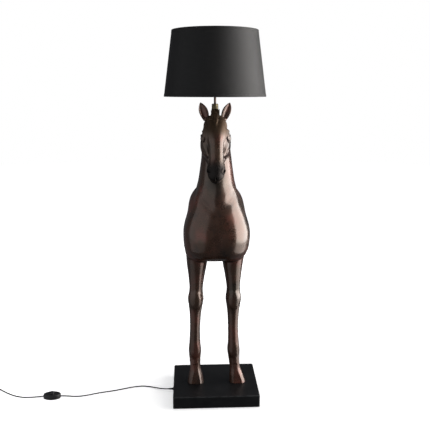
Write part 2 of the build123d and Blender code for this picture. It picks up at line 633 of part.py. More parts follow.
with BuildPart() as switch_screws:
    with BuildSketch(SWITCH_ORIGIN.offset(0.4)):
        with Locations((-SWITCH_SCREW_X, 0), (SWITCH_SCREW_X, 0)):
            Circle(2.9)
    extrude(amount=1.6)
    with BuildSketch(SWITCH_ORIGIN.offset(2)):
        with Locations((-SWITCH_SCREW_X, 0), (SWITCH_SCREW_X, 0)):
            Circle(1.5)
    extrude(amount=11)

BUTTON_FLANGE_TOP = SWITCH_HEIGHT - SWITCH_WALL - FIT
BUTTON_FLANGE = 2.0
with BuildPart() as switch_button:
    with BuildSketch(SWITCH_ORIGIN.offset(BUTTON_FLANGE_TOP - BUTTON_FLANGE)):
        Circle(13.4)
    extrude(amount=BUTTON_FLANGE)
    with BuildSketch(SWITCH_ORIGIN.offset(BUTTON_FLANGE_TOP)):
        Circle(BUTTON_RADIUS)
    extrude(amount=BUTTON_TOP - BUTTON_FLANGE_TOP)
    fillet(switch_button.faces().sort_by(Axis.Z)[-1].edges(), radius=2)

SPRING_RADIUS, SPRING_WIRE = 5.0, 0.5
SPRING_BOTTOM = SWITCH_WALL + SPRING_WIRE
SPRING_TOP = BUTTON_FLANGE_TOP - BUTTON_FLANGE - SPRING_WIRE
with BuildPart() as switch_spring:
    with BuildLine() as spring_line:
        Helix(pitch=(SPRING_TOP - SPRING_BOTTOM) / 4, height=SPRING_TOP - SPRING_BOTTOM,
              radius=SPRING_RADIUS, center=(SWITCH_X, SWITCH_Y, SPRING_BOTTOM))
    with BuildSketch(Plane(origin=spring_line.line @ 0, z_dir=spring_line.line % 0)):
        Circle(SPRING_WIRE - 0.05)
    sweep(path=spring_line.line, is_frenet=True)

with BuildPart() as switch_contacts:
    with BuildSketch(SWITCH_ORIGIN.offset(SWITCH_WALL)):
        with GridLocations(34, 1, 2, 1):
            Rectangle(8, 12)
    extrude(amount=5)

# ---------------------------------------------------------------- mains cord
LEAD_ROUTE = [
    (GLAND_TIP_X, 0, EXIT_HEIGHT),
    (-150, 0, EXIT_HEIGHT),
    (-132, ROD_Y, COVER_TOP + CORD_RADIUS + 0.1),
    (LEFT_ROD_X, ROD_Y, COVER_TOP + CORD_RADIUS + 0.1),
    (LEFT_ROD_X, ROD_Y, 762),
    (0, 0, 985),
    (0, 0, STEM_TOP + 5),
]
LAMP_SIDE_ROUTE = [
    (GLAND_TIP_X, 0, EXIT_HEIGHT),
    (-222, 0, EXIT_HEIGHT),
    (-240, 9, 11.4),
    (-263, 27, 6.2),
    (-292, 45, 2.9),
    (-325, 53, 2.8),
    (-362, 47, 2.8),
    (-398, 34, 2.8),
    (-436, 19, 2.8),
    (-475, 8, 2.8),
    (-513, -1.5, 2.8),
    (-550, -16, 2.8),
    (-583, -27.5, 2.8),
    (-617, -28.5, 2.9),
    (-648, -27, 5.4),
    (SWITCH_X + SWITCH_HALF, SWITCH_Y, SWITCH_SEAM),
]
PLUG_SIDE_ROUTE = [
    (SWITCH_X - SWITCH_HALF, SWITCH_Y, SWITCH_SEAM),
    (-769, -29, 5.6),
    (-796, -27.5, 3.0),
    (-828, -28.5, 2.8),
    (-858, -21, 2.8),
    (-889, -6, 2.8),
    (-922, 18, 2.8),
    (-956, 47, 2.8),
    (-987, 75, 3.0),
    (-1015, 100, COIL_LAYERS[0]),
]
TAIL_ROUTE = [
    (COIL_X - COIL_RADII[2], COIL_Y, COIL_LAYERS[1]),
    (COIL_X - COIL_RADII[2] - 0.6, 58, 8.8),
    (-1077, 43, 7.8),
    (PLUG_X, PLUG_BACK_Y, PLUG_HEIGHT),
]


def cord_tube(points):
    """Round cord swept along straight runs joined by tangent arcs."""
    with BuildPart() as tube:
        with BuildLine() as route:
            FilletPolyline(*points, radius=bend_radii(points))
        with BuildSketch(Plane(origin=route.line @ 0, z_dir=route.line % 0)):
            Circle(CORD_RADIUS)
        sweep(path=route.line)
    return tube


internal_lead = cord_tube(LEAD_ROUTE)
lamp_side_tube = cord_tube(LAMP_SIDE_ROUTE)
plug_side_tube = cord_tube(PLUG_SIDE_ROUTE)
tail_tube = cord_tube(TAIL_ROUTE)

COIL_MARGIN = 0.2
COIL_INNER = COIL_RADII[0] - CORD_RADIUS - COIL_MARGIN
COIL_OUTER = COIL_RADII[2] + CORD_RADIUS + COIL_MARGIN
COIL_BOTTOM = COIL_LAYERS[0] - CORD_RADIUS - 0.1
COIL_TOP = COIL_LAYERS[1] + CORD_RADIUS + 0.1
with BuildPart() as cord_coil:
    with BuildSketch(Plane(origin=(COIL_X, COIL_Y, COIL_BOTTOM))):
        Circle(COIL_OUTER)
        Circle(COIL_INNER, mode=Mode.SUBTRACT)
    extrude(amount=COIL_TOP - COIL_BOTTOM)

with BuildPart() as cord_lamp_side:
    add(lamp_side_tube.part)
    add(switch_base.part, mode=Mode.SUBTRACT)
    add(switch_cover.part, mode=Mode.SUBTRACT)

with BuildPart() as cord_plug_side:
    add(plug_side_tube.part)
    add(switch_base.part, mode=Mode.SUBTRACT)
    add(switch_cover.part, mode=Mode.SUBTRACT)
    add(cord_coil.part, mode=Mode.SUBTRACT)

TIE_ANGLE, TIE_WIDTH, TIE_THICKNESS = 270.0, 9.0, 0.8
tie_out = Vector(cos(radians(TIE_ANGLE)), sin(radians(TIE_ANGLE)), 0)
tie_inner = sqrt(COIL_INNER ** 2 - (TIE_WIDTH / 2) ** 2) - 0.1
tie_middle = (COIL_OUTER + 0.1 + tie_inner) / 2
tie_length = COIL_OUTER + 0.1 - tie_inner
tie_height = COIL_TOP - COIL_BOTTOM + 0.1
with BuildPart() as coil_tie:
    tie_centre = Vector(COIL_X, COIL_Y, (COIL_TOP + COIL_BOTTOM) / 2) + tie_out * tie_middle
    tie_plane = Plane(origin=tie_centre, x_dir=tie_out, z_dir=tie_out.cross(Vector(0, 0, 1)))
    with BuildSketch(tie_plane):
        Rectangle(tie_length + 2 * TIE_THICKNESS, tie_height + 2 * TIE_THICKNESS)
        Rectangle(tie_length, tie_height, mode=Mode.SUBTRACT)
    extrude(amount=TIE_WIDTH / 2, both=True)

# ---------------------------------------------------------------- plug
PLUG_SHOULDER_Y = PLUG_BACK_Y - 20.0
PLUG_FACE_Y = PLUG_SHOULDER_Y - 36.0
with BuildPart() as plug_body:
    with BuildSketch(Plane.XZ.offset(-PLUG_SHOULDER_Y)):
        with Locations((PLUG_X, PLUG_HEIGHT)):
            RectangleRounded(26.0, 13.4, 5.0)
    with BuildSketch(Plane.XZ.offset(-(PLUG_SHOULDER_Y + PLUG_FACE_Y) / 2)):
        with Locations((PLUG_X, PLUG_HEIGHT)):
            RectangleRounded(33.0, 13.6, 5.0)
    with BuildSketch(Plane.XZ.offset(-PLUG_FACE_Y)):
        with Locations((PLUG_X, PLUG_HEIGHT)):
            RectangleRounded(35.0, 13.6, 5.0)
    loft()
    with BuildSketch(Plane.XZ.offset(-PLUG_BACK_Y)):
        with Locations((PLUG_X, PLUG_HEIGHT)):
            Circle(CORD_RADIUS + 1.2)
    with BuildSketch(Plane.XZ.offset(-PLUG_SHOULDER_Y)):
        with Locations((PLUG_X, PLUG_HEIGHT)):
            Circle(5.5)
    loft()
    with BuildSketch(Plane.XZ.offset(-PLUG_FACE_Y)):
        with Locations((PLUG_X, PLUG_HEIGHT)):
            with GridLocations(PIN_SPACING, 1, 2, 1):
                Circle(PIN_SLEEVE_RADIUS)
    extrude(amount=PIN_SLEEVE_LENGTH)
    with BuildSketch(Plane.XZ.offset(-PLUG_FACE_Y + PIN_SLEEVE_LENGTH)):
        with Locations((PLUG_X, PLUG_HEIGHT)):
            with GridLocations(PIN_SPACING, 1, 2, 1):
                Circle(PIN_CORE_RADIUS + SNUG)
    extrude(amount=-PIN_SLEEVE_LENGTH - 10, mode=Mode.SUBTRACT)

# each pin: a thin core through the plug's own sleeve, and a bare tip of full thickness
with BuildPart() as plug_pins:
    with BuildSketch(Plane.XZ.offset(-PLUG_FACE_Y + PIN_LENGTH)):
        with Locations((PLUG_X, PLUG_HEIGHT)):
            with GridLocations(PIN_SPACING, 1, 2, 1):
                Circle(PIN_RADIUS)
    extrude(amount=-(PIN_LENGTH - PIN_SLEEVE_LENGTH))
    fillet(plug_pins.faces().sort_by(Axis.Y)[:2].edges(), PIN_TIP_ROUNDING)
    with BuildSketch(Plane.XZ.offset(-PLUG_FACE_Y + PIN_SLEEVE_LENGTH)):
        with Locations((PLUG_X, PLUG_HEIGHT)):
            with GridLocations(PIN_SPACING, 1, 2, 1):
                Circle(PIN_CORE_RADIUS)
    extrude(amount=-PIN_SLEEVE_LENGTH - 10)

with BuildPart() as cord_tail:
    add(tail_tube.part)
    add(cord_coil.part, mode=Mode.SUBTRACT)
    add(plug_body.part, mode=Mode.SUBTRACT)

# ---------------------------------------------------------------- export
pieces = {
    "plinth": plinth, "ballast_front": ballast_front, "ballast_rear": ballast_rear,
    "ballast_screws": ballast_screws, "plinth_cover": plinth_cover, "cover_screws": cover_screws,
    "rubber_feet": rubber_feet, "cord_gland": cord_gland, "cable_clamp": cable_clamp,
    "clamp_screws": clamp_screws, "leg_left": leg_left, "leg_right": leg_right,
    "leg_tube_left": leg_tube_left, "leg_rod_right": leg_rod_right, "leg_washers": leg_washers,
    "leg_nuts": leg_nuts, "torso": torso, "head": head,
    "stem_tube": stem_tube, "stem_washer": stem_washer, "stem_nut": stem_nut,
    "stem_collar": stem_collar, "holder_cap": holder_cap, "holder_body": holder_body,
    "holder_insert": holder_insert, "contact_tongue": contact_tongue, "thread_sleeve": thread_sleeve,
    "shade_ring": shade_ring, "bulb_base": bulb_base, "bulb_glass": bulb_glass,
    "shade_cover": shade_cover, "shade_lining": shade_lining, "shade_top_ring": shade_top_ring,
    "shade_frame": shade_frame, "switch_base": switch_base, "switch_cover": switch_cover,
    "switch_screws": switch_screws, "switch_button": switch_button, "switch_spring": switch_spring,
    "switch_contacts": switch_contacts, "internal_lead": internal_lead,
    "cord_lamp_side": cord_lamp_side, "cord_plug_side": cord_plug_side, "cord_coil": cord_coil,
    "cord_tail": cord_tail, "coil_tie": coil_tie, "plug_body": plug_body, "plug_pins": plug_pins,
}
for label, piece in pieces.items():
    piece.part.label = label
    export_step(piece.part, f"parts/{label}.step")

for label, shape in {"ear_left": ear_left, "ear_right": ear_right}.items():
    shape.label = label
    export_step(shape, f"parts/{label}.step")

report_tube("internal_lead", LEAD_ROUTE, internal_lead.part)
report_tube("cord_lamp_side", LAMP_SIDE_ROUTE, lamp_side_tube.part)
report_tube("cord_plug_side", PLUG_SIDE_ROUTE, plug_side_tube.part)
report_tube("cord_tail", TAIL_ROUTE, tail_tube.part)
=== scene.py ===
"""Floor lamp: the front half of a standing foal in a bronze finish, with its shade, plinth and cord."""

import math

import bmesh
import bpy
import numpy as np
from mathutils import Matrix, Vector


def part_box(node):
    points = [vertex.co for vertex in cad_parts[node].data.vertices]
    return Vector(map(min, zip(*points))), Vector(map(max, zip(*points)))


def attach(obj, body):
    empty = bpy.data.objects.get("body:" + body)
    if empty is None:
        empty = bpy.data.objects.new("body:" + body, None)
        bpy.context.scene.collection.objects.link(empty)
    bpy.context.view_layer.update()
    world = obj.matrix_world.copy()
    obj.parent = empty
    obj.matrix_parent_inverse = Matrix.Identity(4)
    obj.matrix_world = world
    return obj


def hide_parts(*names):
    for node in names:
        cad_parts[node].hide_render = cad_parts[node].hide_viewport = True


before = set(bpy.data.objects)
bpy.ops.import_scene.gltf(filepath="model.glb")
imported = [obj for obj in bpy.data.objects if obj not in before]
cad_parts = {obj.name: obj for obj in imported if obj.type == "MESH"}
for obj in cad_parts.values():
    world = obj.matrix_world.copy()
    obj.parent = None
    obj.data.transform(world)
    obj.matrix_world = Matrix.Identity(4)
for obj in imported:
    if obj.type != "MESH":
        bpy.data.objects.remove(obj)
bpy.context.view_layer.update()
MM = 0.001
ROOT = "lamp"


# ---------------- mesh helpers
def new_object(name, mesh, material, body=ROOT):
    """Link a mesh as a piece that rides on a body."""
    piece = bpy.data.objects.new(name, mesh)
    bpy.context.scene.collection.objects.link(piece)
    if material:
        mesh.materials.append(material)
    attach(piece, body)
    return piece


def mesh_from(name, vertices, faces, smooth=True):
    """Mesh data from arrays of points (metres) and faces."""
    mesh = bpy.data.meshes.new(name)
    mesh.from_pydata([tuple(map(float, v)) for v in vertices], [], [tuple(map(int, f)) for f in faces])
    mesh.validate()
    mesh.polygons.foreach_set("use_smooth", [smooth] * len(mesh.polygons))
    mesh.update()
    return mesh


def grid_faces(rows, columns, close_rows=False, close_columns=False):
    """Quads over a grid of rows x columns points, numbered row by row."""
    faces = []
    for r in range(rows if close_rows else rows - 1):
        for c in range(columns if close_columns else columns - 1):
            next_r, next_c = (r + 1) % rows, (c + 1) % columns
            low, high = r * columns, next_r * columns
            faces.append((low + c, low + next_c, high + next_c, high + c))
    return faces


def turn_angles(steps):
    """Equal steps round a full turn, in radians."""
    return [2 * math.pi * i / steps for i in range(steps)]


def tidy_mesh(mesh):
    """Merge doubled points, drop collapsed faces and make the normals face outwards."""
    work = bmesh.new()
    work.from_mesh(mesh)
    bmesh.ops.remove_doubles(work, verts=work.verts, dist=1e-6)
    bmesh.ops.dissolve_degenerate(work, edges=work.edges, dist=1e-7)
    bmesh.ops.recalc_face_normals(work, faces=work.faces)
    work.to_mesh(mesh)
    work.free()
    mesh.update()


def stand_for(piece, slot, *nodes):
    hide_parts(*nodes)


# ---------------- material helpers
def grey(value):
    return (value, value, value)


class Look:
    """A node material being built. Its methods add nodes and return their output sockets."""

    def __init__(self, name):
        self.material = bpy.data.materials.new(name)
        self.material.use_nodes = True
        self.tree = self.material.node_tree
        self.coordinates = self.make("ShaderNodeTexCoord")
        self.place = self.coordinates.outputs["Object"]

    def feed(self, made, inputs):
        """Fill a node's inputs: a socket is linked, anything else is set as the constant."""
        for key, value in inputs.items():
            socket = made.inputs[key]
            if isinstance(value, bpy.types.NodeSocket):
                self.tree.links.new(value, socket)
            elif socket.type == "RGBA":
                socket.default_value = (*value, 1)
            else:
                socket.default_value = value

    def make(self, kind, inputs=None, **settings):
        made = self.tree.nodes.new(kind)
        for key, value in settings.items():
            setattr(made, key, value)
        self.feed(made, inputs or {})
        return made

    def finish(self, inputs):
        """Fill the shader's inputs and return the material."""
        self.feed(self.tree.nodes["Principled BSDF"], inputs)
        return self.material

    def ramp(self, source, *stops, interpolation="EASE"):
        """Colour ramp driven by a socket; stops are (position, colour)."""
        made = self.make("ShaderNodeValToRGB", {"Fac": source})
        made.color_ramp.interpolation = interpolation
        elements = made.color_ramp.elements
        while len(elements) < len(stops):
            elements.new(0.5)
        for element, (position, colour) in zip(elements, stops):
            element.position = position
            element.color = (*colour, 1)
        return made.outputs["Color"]

    def noise(self, scale, detail=4.0, place=None):
        values = {"Vector": place or self.place, "Scale": scale, "Detail": detail, "Roughness": 0.55}
        return self.make("ShaderNodeTexNoise", values).outputs["Fac"]

    def bump(self, height, strength, distance):
        values = {"Height": height, "Strength": strength, "Distance": distance}
        return self.make("ShaderNodeBump", values).outputs["Normal"]

    def blend(self, factor, first, second):
        """first where the factor is 0, second where it is 1."""
        values = {"Factor": factor, "A": first, "B": second}
        return self.make("ShaderNodeMix", values, data_type="RGBA").outputs["Result"]

    def maths(self, operation, *sources):
        return self.make("ShaderNodeMath", dict(enumerate(sources)), operation=operation).outputs["Value"]

    def remap(self, source, **limits):
        """A socket's value mapped from one range to another; limits are the node's, with _ for spaces."""
        values = {"Value": source, **{key.replace("_", " "): value for key, value in limits.items()}}
        return self.make("ShaderNodeMapRange", values).outputs["Result"]

    def stretched(self, source, scale):
        return self.make("ShaderNodeMapping", {"Vector": source, "Scale": scale}).outputs["Vector"]

    def near(self, point, inner, outer):
        """1 within inner metres of a point, falling to 0 at outer."""
        away = self.make("ShaderNodeVectorMath", {0: self.place, 1: tuple(point)}, operation="DISTANCE")
        return self.ramp(away.outputs["Value"], (inner, grey(1)), (outer, grey(0)))


def plain_material(name, colour, roughness, variation=0.25, grain=900.0, grain_depth=0.00006, coat=0.0):
    """Moulded surface with slight colour and gloss variation and a fine grain."""
    look = Look(name)
    low = tuple(c * (1 - variation) for c in colour)
    high = tuple(min(1.0, c * (1 + variation)) for c in colour)
    dull, shiny = grey(min(1, roughness * 1.2)), grey(roughness * 0.85)
    return look.finish({
        "Base Color": look.ramp(look.noise(60.0), (0.3, low), (0.7, high)),
        "Roughness": look.ramp(look.noise(140.0), (0.3, shiny), (0.75, dull)),
        "Coat Weight": coat,
        "Normal": look.bump(look.noise(grain, 2.0), 0.35, grain_depth),
    })


# ---------------- camera, floor and lights
CAMERA_DISTANCE = 2.446
CAMERA_HEIGHT = 1.3124
CAMERA_PITCH = math.radians(11.83)
CAMERA_AZIMUTH = math.radians(-2.6)


def make_camera():
    data = bpy.data.cameras.new("camera")
    data.lens, data.sensor_width = 50.0, 36.0
    data.clip_end = 50.0
    camera = bpy.data.objects.new("camera", data)
    bpy.context.scene.collection.objects.link(camera)
    camera.location = (CAMERA_DISTANCE * math.sin(CAMERA_AZIMUTH),
                       -CAMERA_DISTANCE * math.cos(CAMERA_AZIMUTH), CAMERA_HEIGHT)
    camera.rotation_euler = (math.pi / 2 - CAMERA_PITCH, 0, CAMERA_AZIMUTH)
    bpy.context.scene.camera = camera


def stage_piece(name, vertices, faces, material):
    """Background object that the lamp neither reflects nor is lit by."""
    piece = bpy.data.objects.new(name, mesh_from(name, vertices, faces, smooth=False))
    piece.data.materials.append(material)
    bpy.context.scene.collection.objects.link(piece)
    piece.visible_glossy = False
    piece.visible_diffuse = False
    piece.visible_shadow = False


def make_stage():
    """Pale floor that grows brighter away from the lamp, and a white surround."""
    look = Look("pale_floor")
    reach = look.make("ShaderNodeVectorMath", {0: look.place}, operation="LENGTH").outputs["Value"]
    pale = look.finish({
        "Base Color": grey(0.94),
        "Roughness": 0.9,
        "Specular IOR Level": 0.0,
        "Emission Color": grey(1),
        "Emission Strength": look.remap(reach, From_Min=0.25, From_Max=1.2, To_Min=0.42, To_Max=0.95),
    })
    half = 9.0
    corners = [(-half, -half, 0), (half, -half, 0), (half, half, 0), (-half, half, 0)]
    stage_piece("floor", corners, [(0, 1, 2, 3)], pale)

    white = Look("white_surround").finish({
        "Base Color": grey(0),
        "Specular IOR Level": 0.0,
        "Emission Color": grey(1),
        "Emission Strength": 1.0,
    })
    steps, radius, height = 48, 8.9, 9.0
    vertices = [(radius * math.cos(a), radius * math.sin(a), z)
                for z in (-0.01, height) for a in turn_angles(steps)]
    faces = grid_faces(2, steps, close_columns=True) + [tuple(range(steps, 2 * steps))]
    stage_piece("surround", vertices, faces, white)


def softbox(name, bearing, distance, height, size, strength, colour=(1, 1, 1), diffuse=True, gloss=True):
    """Rectangular light. bearing is counted from the front, towards the right; strength is per m2.
    It faces the lamp's axis, or straight down when it stands nearer than 0.7 m to it."""
    data = bpy.data.lights.new(name, "AREA")
    data.shape = "RECTANGLE"
    data.size, data.size_y = size
    data.energy = strength * size[0] * size[1]
    data.color = colour
    light = bpy.data.objects.new(name, data)
    a = math.radians(bearing)
    light.location = (distance * math.sin(a), -distance * math.cos(a), height)
    facing = Vector((-math.sin(a), math.cos(a), 0)) if distance > 0.7 else Vector((0, 0, -1))
    light.rotation_euler = facing.to_track_quat("-Z", "Y").to_euler()
    light.visible_camera = False
    light.visible_diffuse = diffuse
    light.visible_glossy = gloss
    bpy.context.scene.collection.objects.link(light)


def make_lights():
    """A bright wide softbox on the right, a dim one on the left, soft fill from above and behind."""
    warm, cool = (1.0, 0.97, 0.94), (0.97, 0.98, 1.0)
    softbox("key_right", 84, 2.0, 1.6, (2.9, 3.2), 8, warm)
    softbox("key_right_shine", 84, 2.02, 1.6, (2.9, 3.2), 19, warm, diffuse=False)
    softbox("key_right_low", 84, 2.0, -0.75, (2.9, 1.4), 8, warm, diffuse=False)
    softbox("fill_left", -57, 2.0, 1.6, (4.2, 2.9), 2.2, cool)
    softbox("fill_left_low", -60, 2.0, -0.6, (4.0, 1.5), 1.2, cool, diffuse=False)
    softbox("overhead", 0, 0.5, 3.4, (2.2, 2.2), 6, gloss=False)
    softbox("behind", 172, 2.6, 1.3, (3.0, 2.4), 3, gloss=False)
    world = bpy.data.worlds.new("studio")
    world.use_nodes = True
    background = world.node_tree.nodes["Background"]
    background.inputs["Color"].default_value = (0.9, 0.93, 1.0, 1)
    background.inputs["Strength"].default_value = 0.10
    bpy.context.scene.world = world
    bpy.context.scene.view_settings.view_transform = "Standard"
    bpy.context.scene.view_settings.look = "None"


# ---------------- cord, in metres as in the CAD
CORD_DIAMETER = 0.0052
CORD_RADIUS = CORD_DIAMETER / 2
CORD_EXIT = (-0.207, 0.0, 0.014)
LAMP_SIDE = [
    CORD_EXIT,
    (-0.222, 0.0, 0.014),
    (-0.240, 0.009, 0.0114),
    (-0.263, 0.027, 0.0062),
    (-0.292, 0.045, 0.0029),
    (-0.325, 0.053, 0.0028),
    (-0.362, 0.047, 0.0028),
    (-0.398, 0.034, 0.0028),
    (-0.436, 0.019, 0.0028),
    (-0.475, 0.008, 0.0028),
    (-0.513, -0.0015, 0.0028),
    (-0.550, -0.016, 0.0028),
    (-0.583, -0.0275, 0.0028),
    (-0.617, -0.0285, 0.0029),
    (-0.648, -0.027, 0.0054),
    (-0.675, -0.030, 0.008),
]
SWITCH_MIDDLE = (-0.711, -0.030, 0.008)
PLUG_SIDE = [
    (-0.747, -0.030, 0.008),
    (-0.769, -0.029, 0.0056),
    (-0.796, -0.0275, 0.0030),
    (-0.828, -0.0285, 0.0028),
    (-0.858, -0.021, 0.0028),
    (-0.889, -0.006, 0.0028),
    (-0.922, 0.018, 0.0028),
    (-0.956, 0.047, 0.0028),
    (-0.987, 0.075, 0.0030),
    (-1.015, 0.100, 0.0036),
]
TAIL = [
    (-1.0745, 0.058, 0.0088),
    (-1.077, 0.043, 0.0078),
    (-1.080, 0.024, 0.0070),
]
COIL_CENTRE = (-1.0385, 0.0735)
COIL_RADII = (0.0354, 0.0300, 0.0246)
COIL_LAYERS = (0.0036, 0.0090)
COIL_START, COIL_END = 48.4, 1980.0      # degrees, anticlockwise seen from above
JOG_FROM, JOG_TO = -10.0, 40.0           # where each turn steps to the next place
TURN_POINTS = 16


def smooth_step(t):
    t = min(1.0, max(0.0, t))
    return t * t * (3 - 2 * t)


def coil_points():
    """Two layers of three turns: inwards on the floor, up, and outwards on top."""
    floor_layer = [(radius, COIL_LAYERS[0]) for radius in COIL_RADII]
    places = floor_layer + [(radius, COIL_LAYERS[1]) for radius in COIL_RADII[::-1]]
    step = 360.0 / TURN_POINTS
    outward = 1 / math.cos(math.radians(step / 2)) ** 0.75   # the spline runs inside its points
    points = []
    count = int((COIL_END - COIL_START) / step)
    for i in range(1, count):
        angle = COIL_START + i * (COIL_END - COIL_START) / count
        turn = 0
        for jog in range(1, 6):
            turn += smooth_step((angle - (360 * jog + JOG_FROM)) / (JOG_TO - JOG_FROM))
        low = min(4, int(turn))
        part = turn - low
        radius = (places[low][0] * (1 - part) + places[low + 1][0] * part) * outward
        height = places[low][1] * (1 - part) + places[low + 1][1] * part
        a = math.radians(angle)
        points.append((COIL_CENTRE[0] + radius * math.cos(a), COIL_CENTRE[1] + radius * math.sin(a), height))
    return points


def make_cord(material):
    """The whole cord as one open spline: gland, switch, coil, plug."""
    curve = bpy.data.curves.new("mains_cord", "CURVE")
    curve.dimensions = "3D"
    curve.resolution_u = 10
    curve.bevel_depth = CORD_RADIUS
    curve.bevel_resolution = 5
    curve.use_fill_caps = True
    route = LAMP_SIDE + [SWITCH_MIDDLE] + PLUG_SIDE + coil_points() + TAIL
    spline = curve.splines.new("NURBS")
    spline.points.add(len(route) - 1)
    for point, place in zip(spline.points, route):
        point.co = (*place, 1.0)
    spline.order_u = 3
    spline.use_endpoint_u = True
    curve.materials.append(material)
    cord = bpy.data.objects.new("mains_cord", curve)
    bpy.context.scene.collection.objects.link(cord)
    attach(cord, ROOT)
    stand_for(cord, "cord_sheath", "cord_lamp_side", "cord_plug_side", "cord_coil", "cord_tail")
    return cord


# ---------------- sculpting: fields on a grid, millimetres
HOLLOW_ROUNDS = 12
CELL_CORNERS = [np.array(corner) for corner in np.ndindex(2, 2, 2)]


def through(stations, column, at):
    """Smooth curve through the stations' values in a column, read at the given places (1-D array)."""
    knots = np.array([s[0] for s in stations], float)
    values = np.array([s[column] for s in stations], float)
    slopes = np.gradient(values, knots)
    at = np.clip(at, knots[0], knots[-1])
    i = np.clip(np.searchsorted(knots, at) - 1, 0, len(knots) - 2)
    gap = knots[i + 1] - knots[i]
    t = (at - knots[i]) / gap
    t2, t3 = t * t, t * t * t
    return ((2 * t3 - 3 * t2 + 1) * values[i] + (t3 - 2 * t2 + t) * gap * slopes[i]
            + (-2 * t3 + 3 * t2) * values[i + 1] + (t3 - t2) * gap * slopes[i + 1])


def smooth_min(a, b, k):
    """The lower of two fields, with a rounded joint about k wide."""
    h = np.clip(0.5 + 0.5 * (b - a) / k, 0, 1)
    return b + (a - b) * h - k * h * (1 - h)


def ellipsoid(x, y, z, centre, radii):
    """Distance-like field of an ellipsoid."""
    dx, dy, dz = x - centre[0], y - centre[1], z - centre[2]
    k0 = np.sqrt((dx / radii[0]) ** 2 + (dy / radii[1]) ** 2 + (dz / radii[2]) ** 2)
    k1 = np.sqrt((dx / radii[0] ** 2) ** 2 + (dy / radii[1] ** 2) ** 2 + (dz / radii[2] ** 2) ** 2)
    return k0 * (k0 - 1) / np.maximum(k1, 1e-6)


def capsule(x, y, z, start, end, start_radius, end_radius):
    """Field of a rod with round ends whose radius changes evenly."""
    a, b = np.array(start, float), np.array(end, float)
    axis = b - a
    t = ((x - a[0]) * axis[0] + (y - a[1]) * axis[1] + (z - a[2]) * axis[2]) / axis.dot(axis)
    t = np.clip(t, 0, 1)
    dx, dy, dz = x - a[0] - t * axis[0], y - a[1] - t * axis[1], z - a[2] - t * axis[2]
    return np.sqrt(dx ** 2 + dy ** 2 + dz ** 2) - (start_radius + t * (end_radius - start_radius))


def section(dx, dy, half, depth, power=2.0):
    """Field of a rounded section: an ellipse at power 2, boxier above."""
    k = ((np.abs(dx) / half) ** power + (np.abs(dy) / depth) ** power) ** (1 / power)
    return np.sqrt(dx ** 2 + dy ** 2) * (1 - 1 / np.maximum(k, 1e-3))


def capped(field, beyond):
    """A long field closed where beyond, the distance past its end, is positive."""
    return np.where(beyond > 0, np.sqrt(np.maximum(field, 0) ** 2 + beyond ** 2), field)


def column(x, y, z, stations, centre_x, front_power=2.0, back_power=2.0):
    """Upright body of rounded sections. Stations hold height, half width, front y and back y."""
    height = z.ravel()
    half, front, back = (through(stations, c, height)[None, None, :] for c in (1, 2, 3))
    half = np.maximum(half, 0.5)
    middle = (front + back) / 2
    depth = np.maximum((back - front) / 2, 0.5)
    dx, dy = x - centre_x(height)[None, None, :], y - middle
    power = np.where(dy < 0, front_power, back_power)
    beyond = np.maximum(stations[0][0] - height, height - stations[-1][0])[None, None, :]
    return capped(section(dx, dy, half, depth, power), beyond)


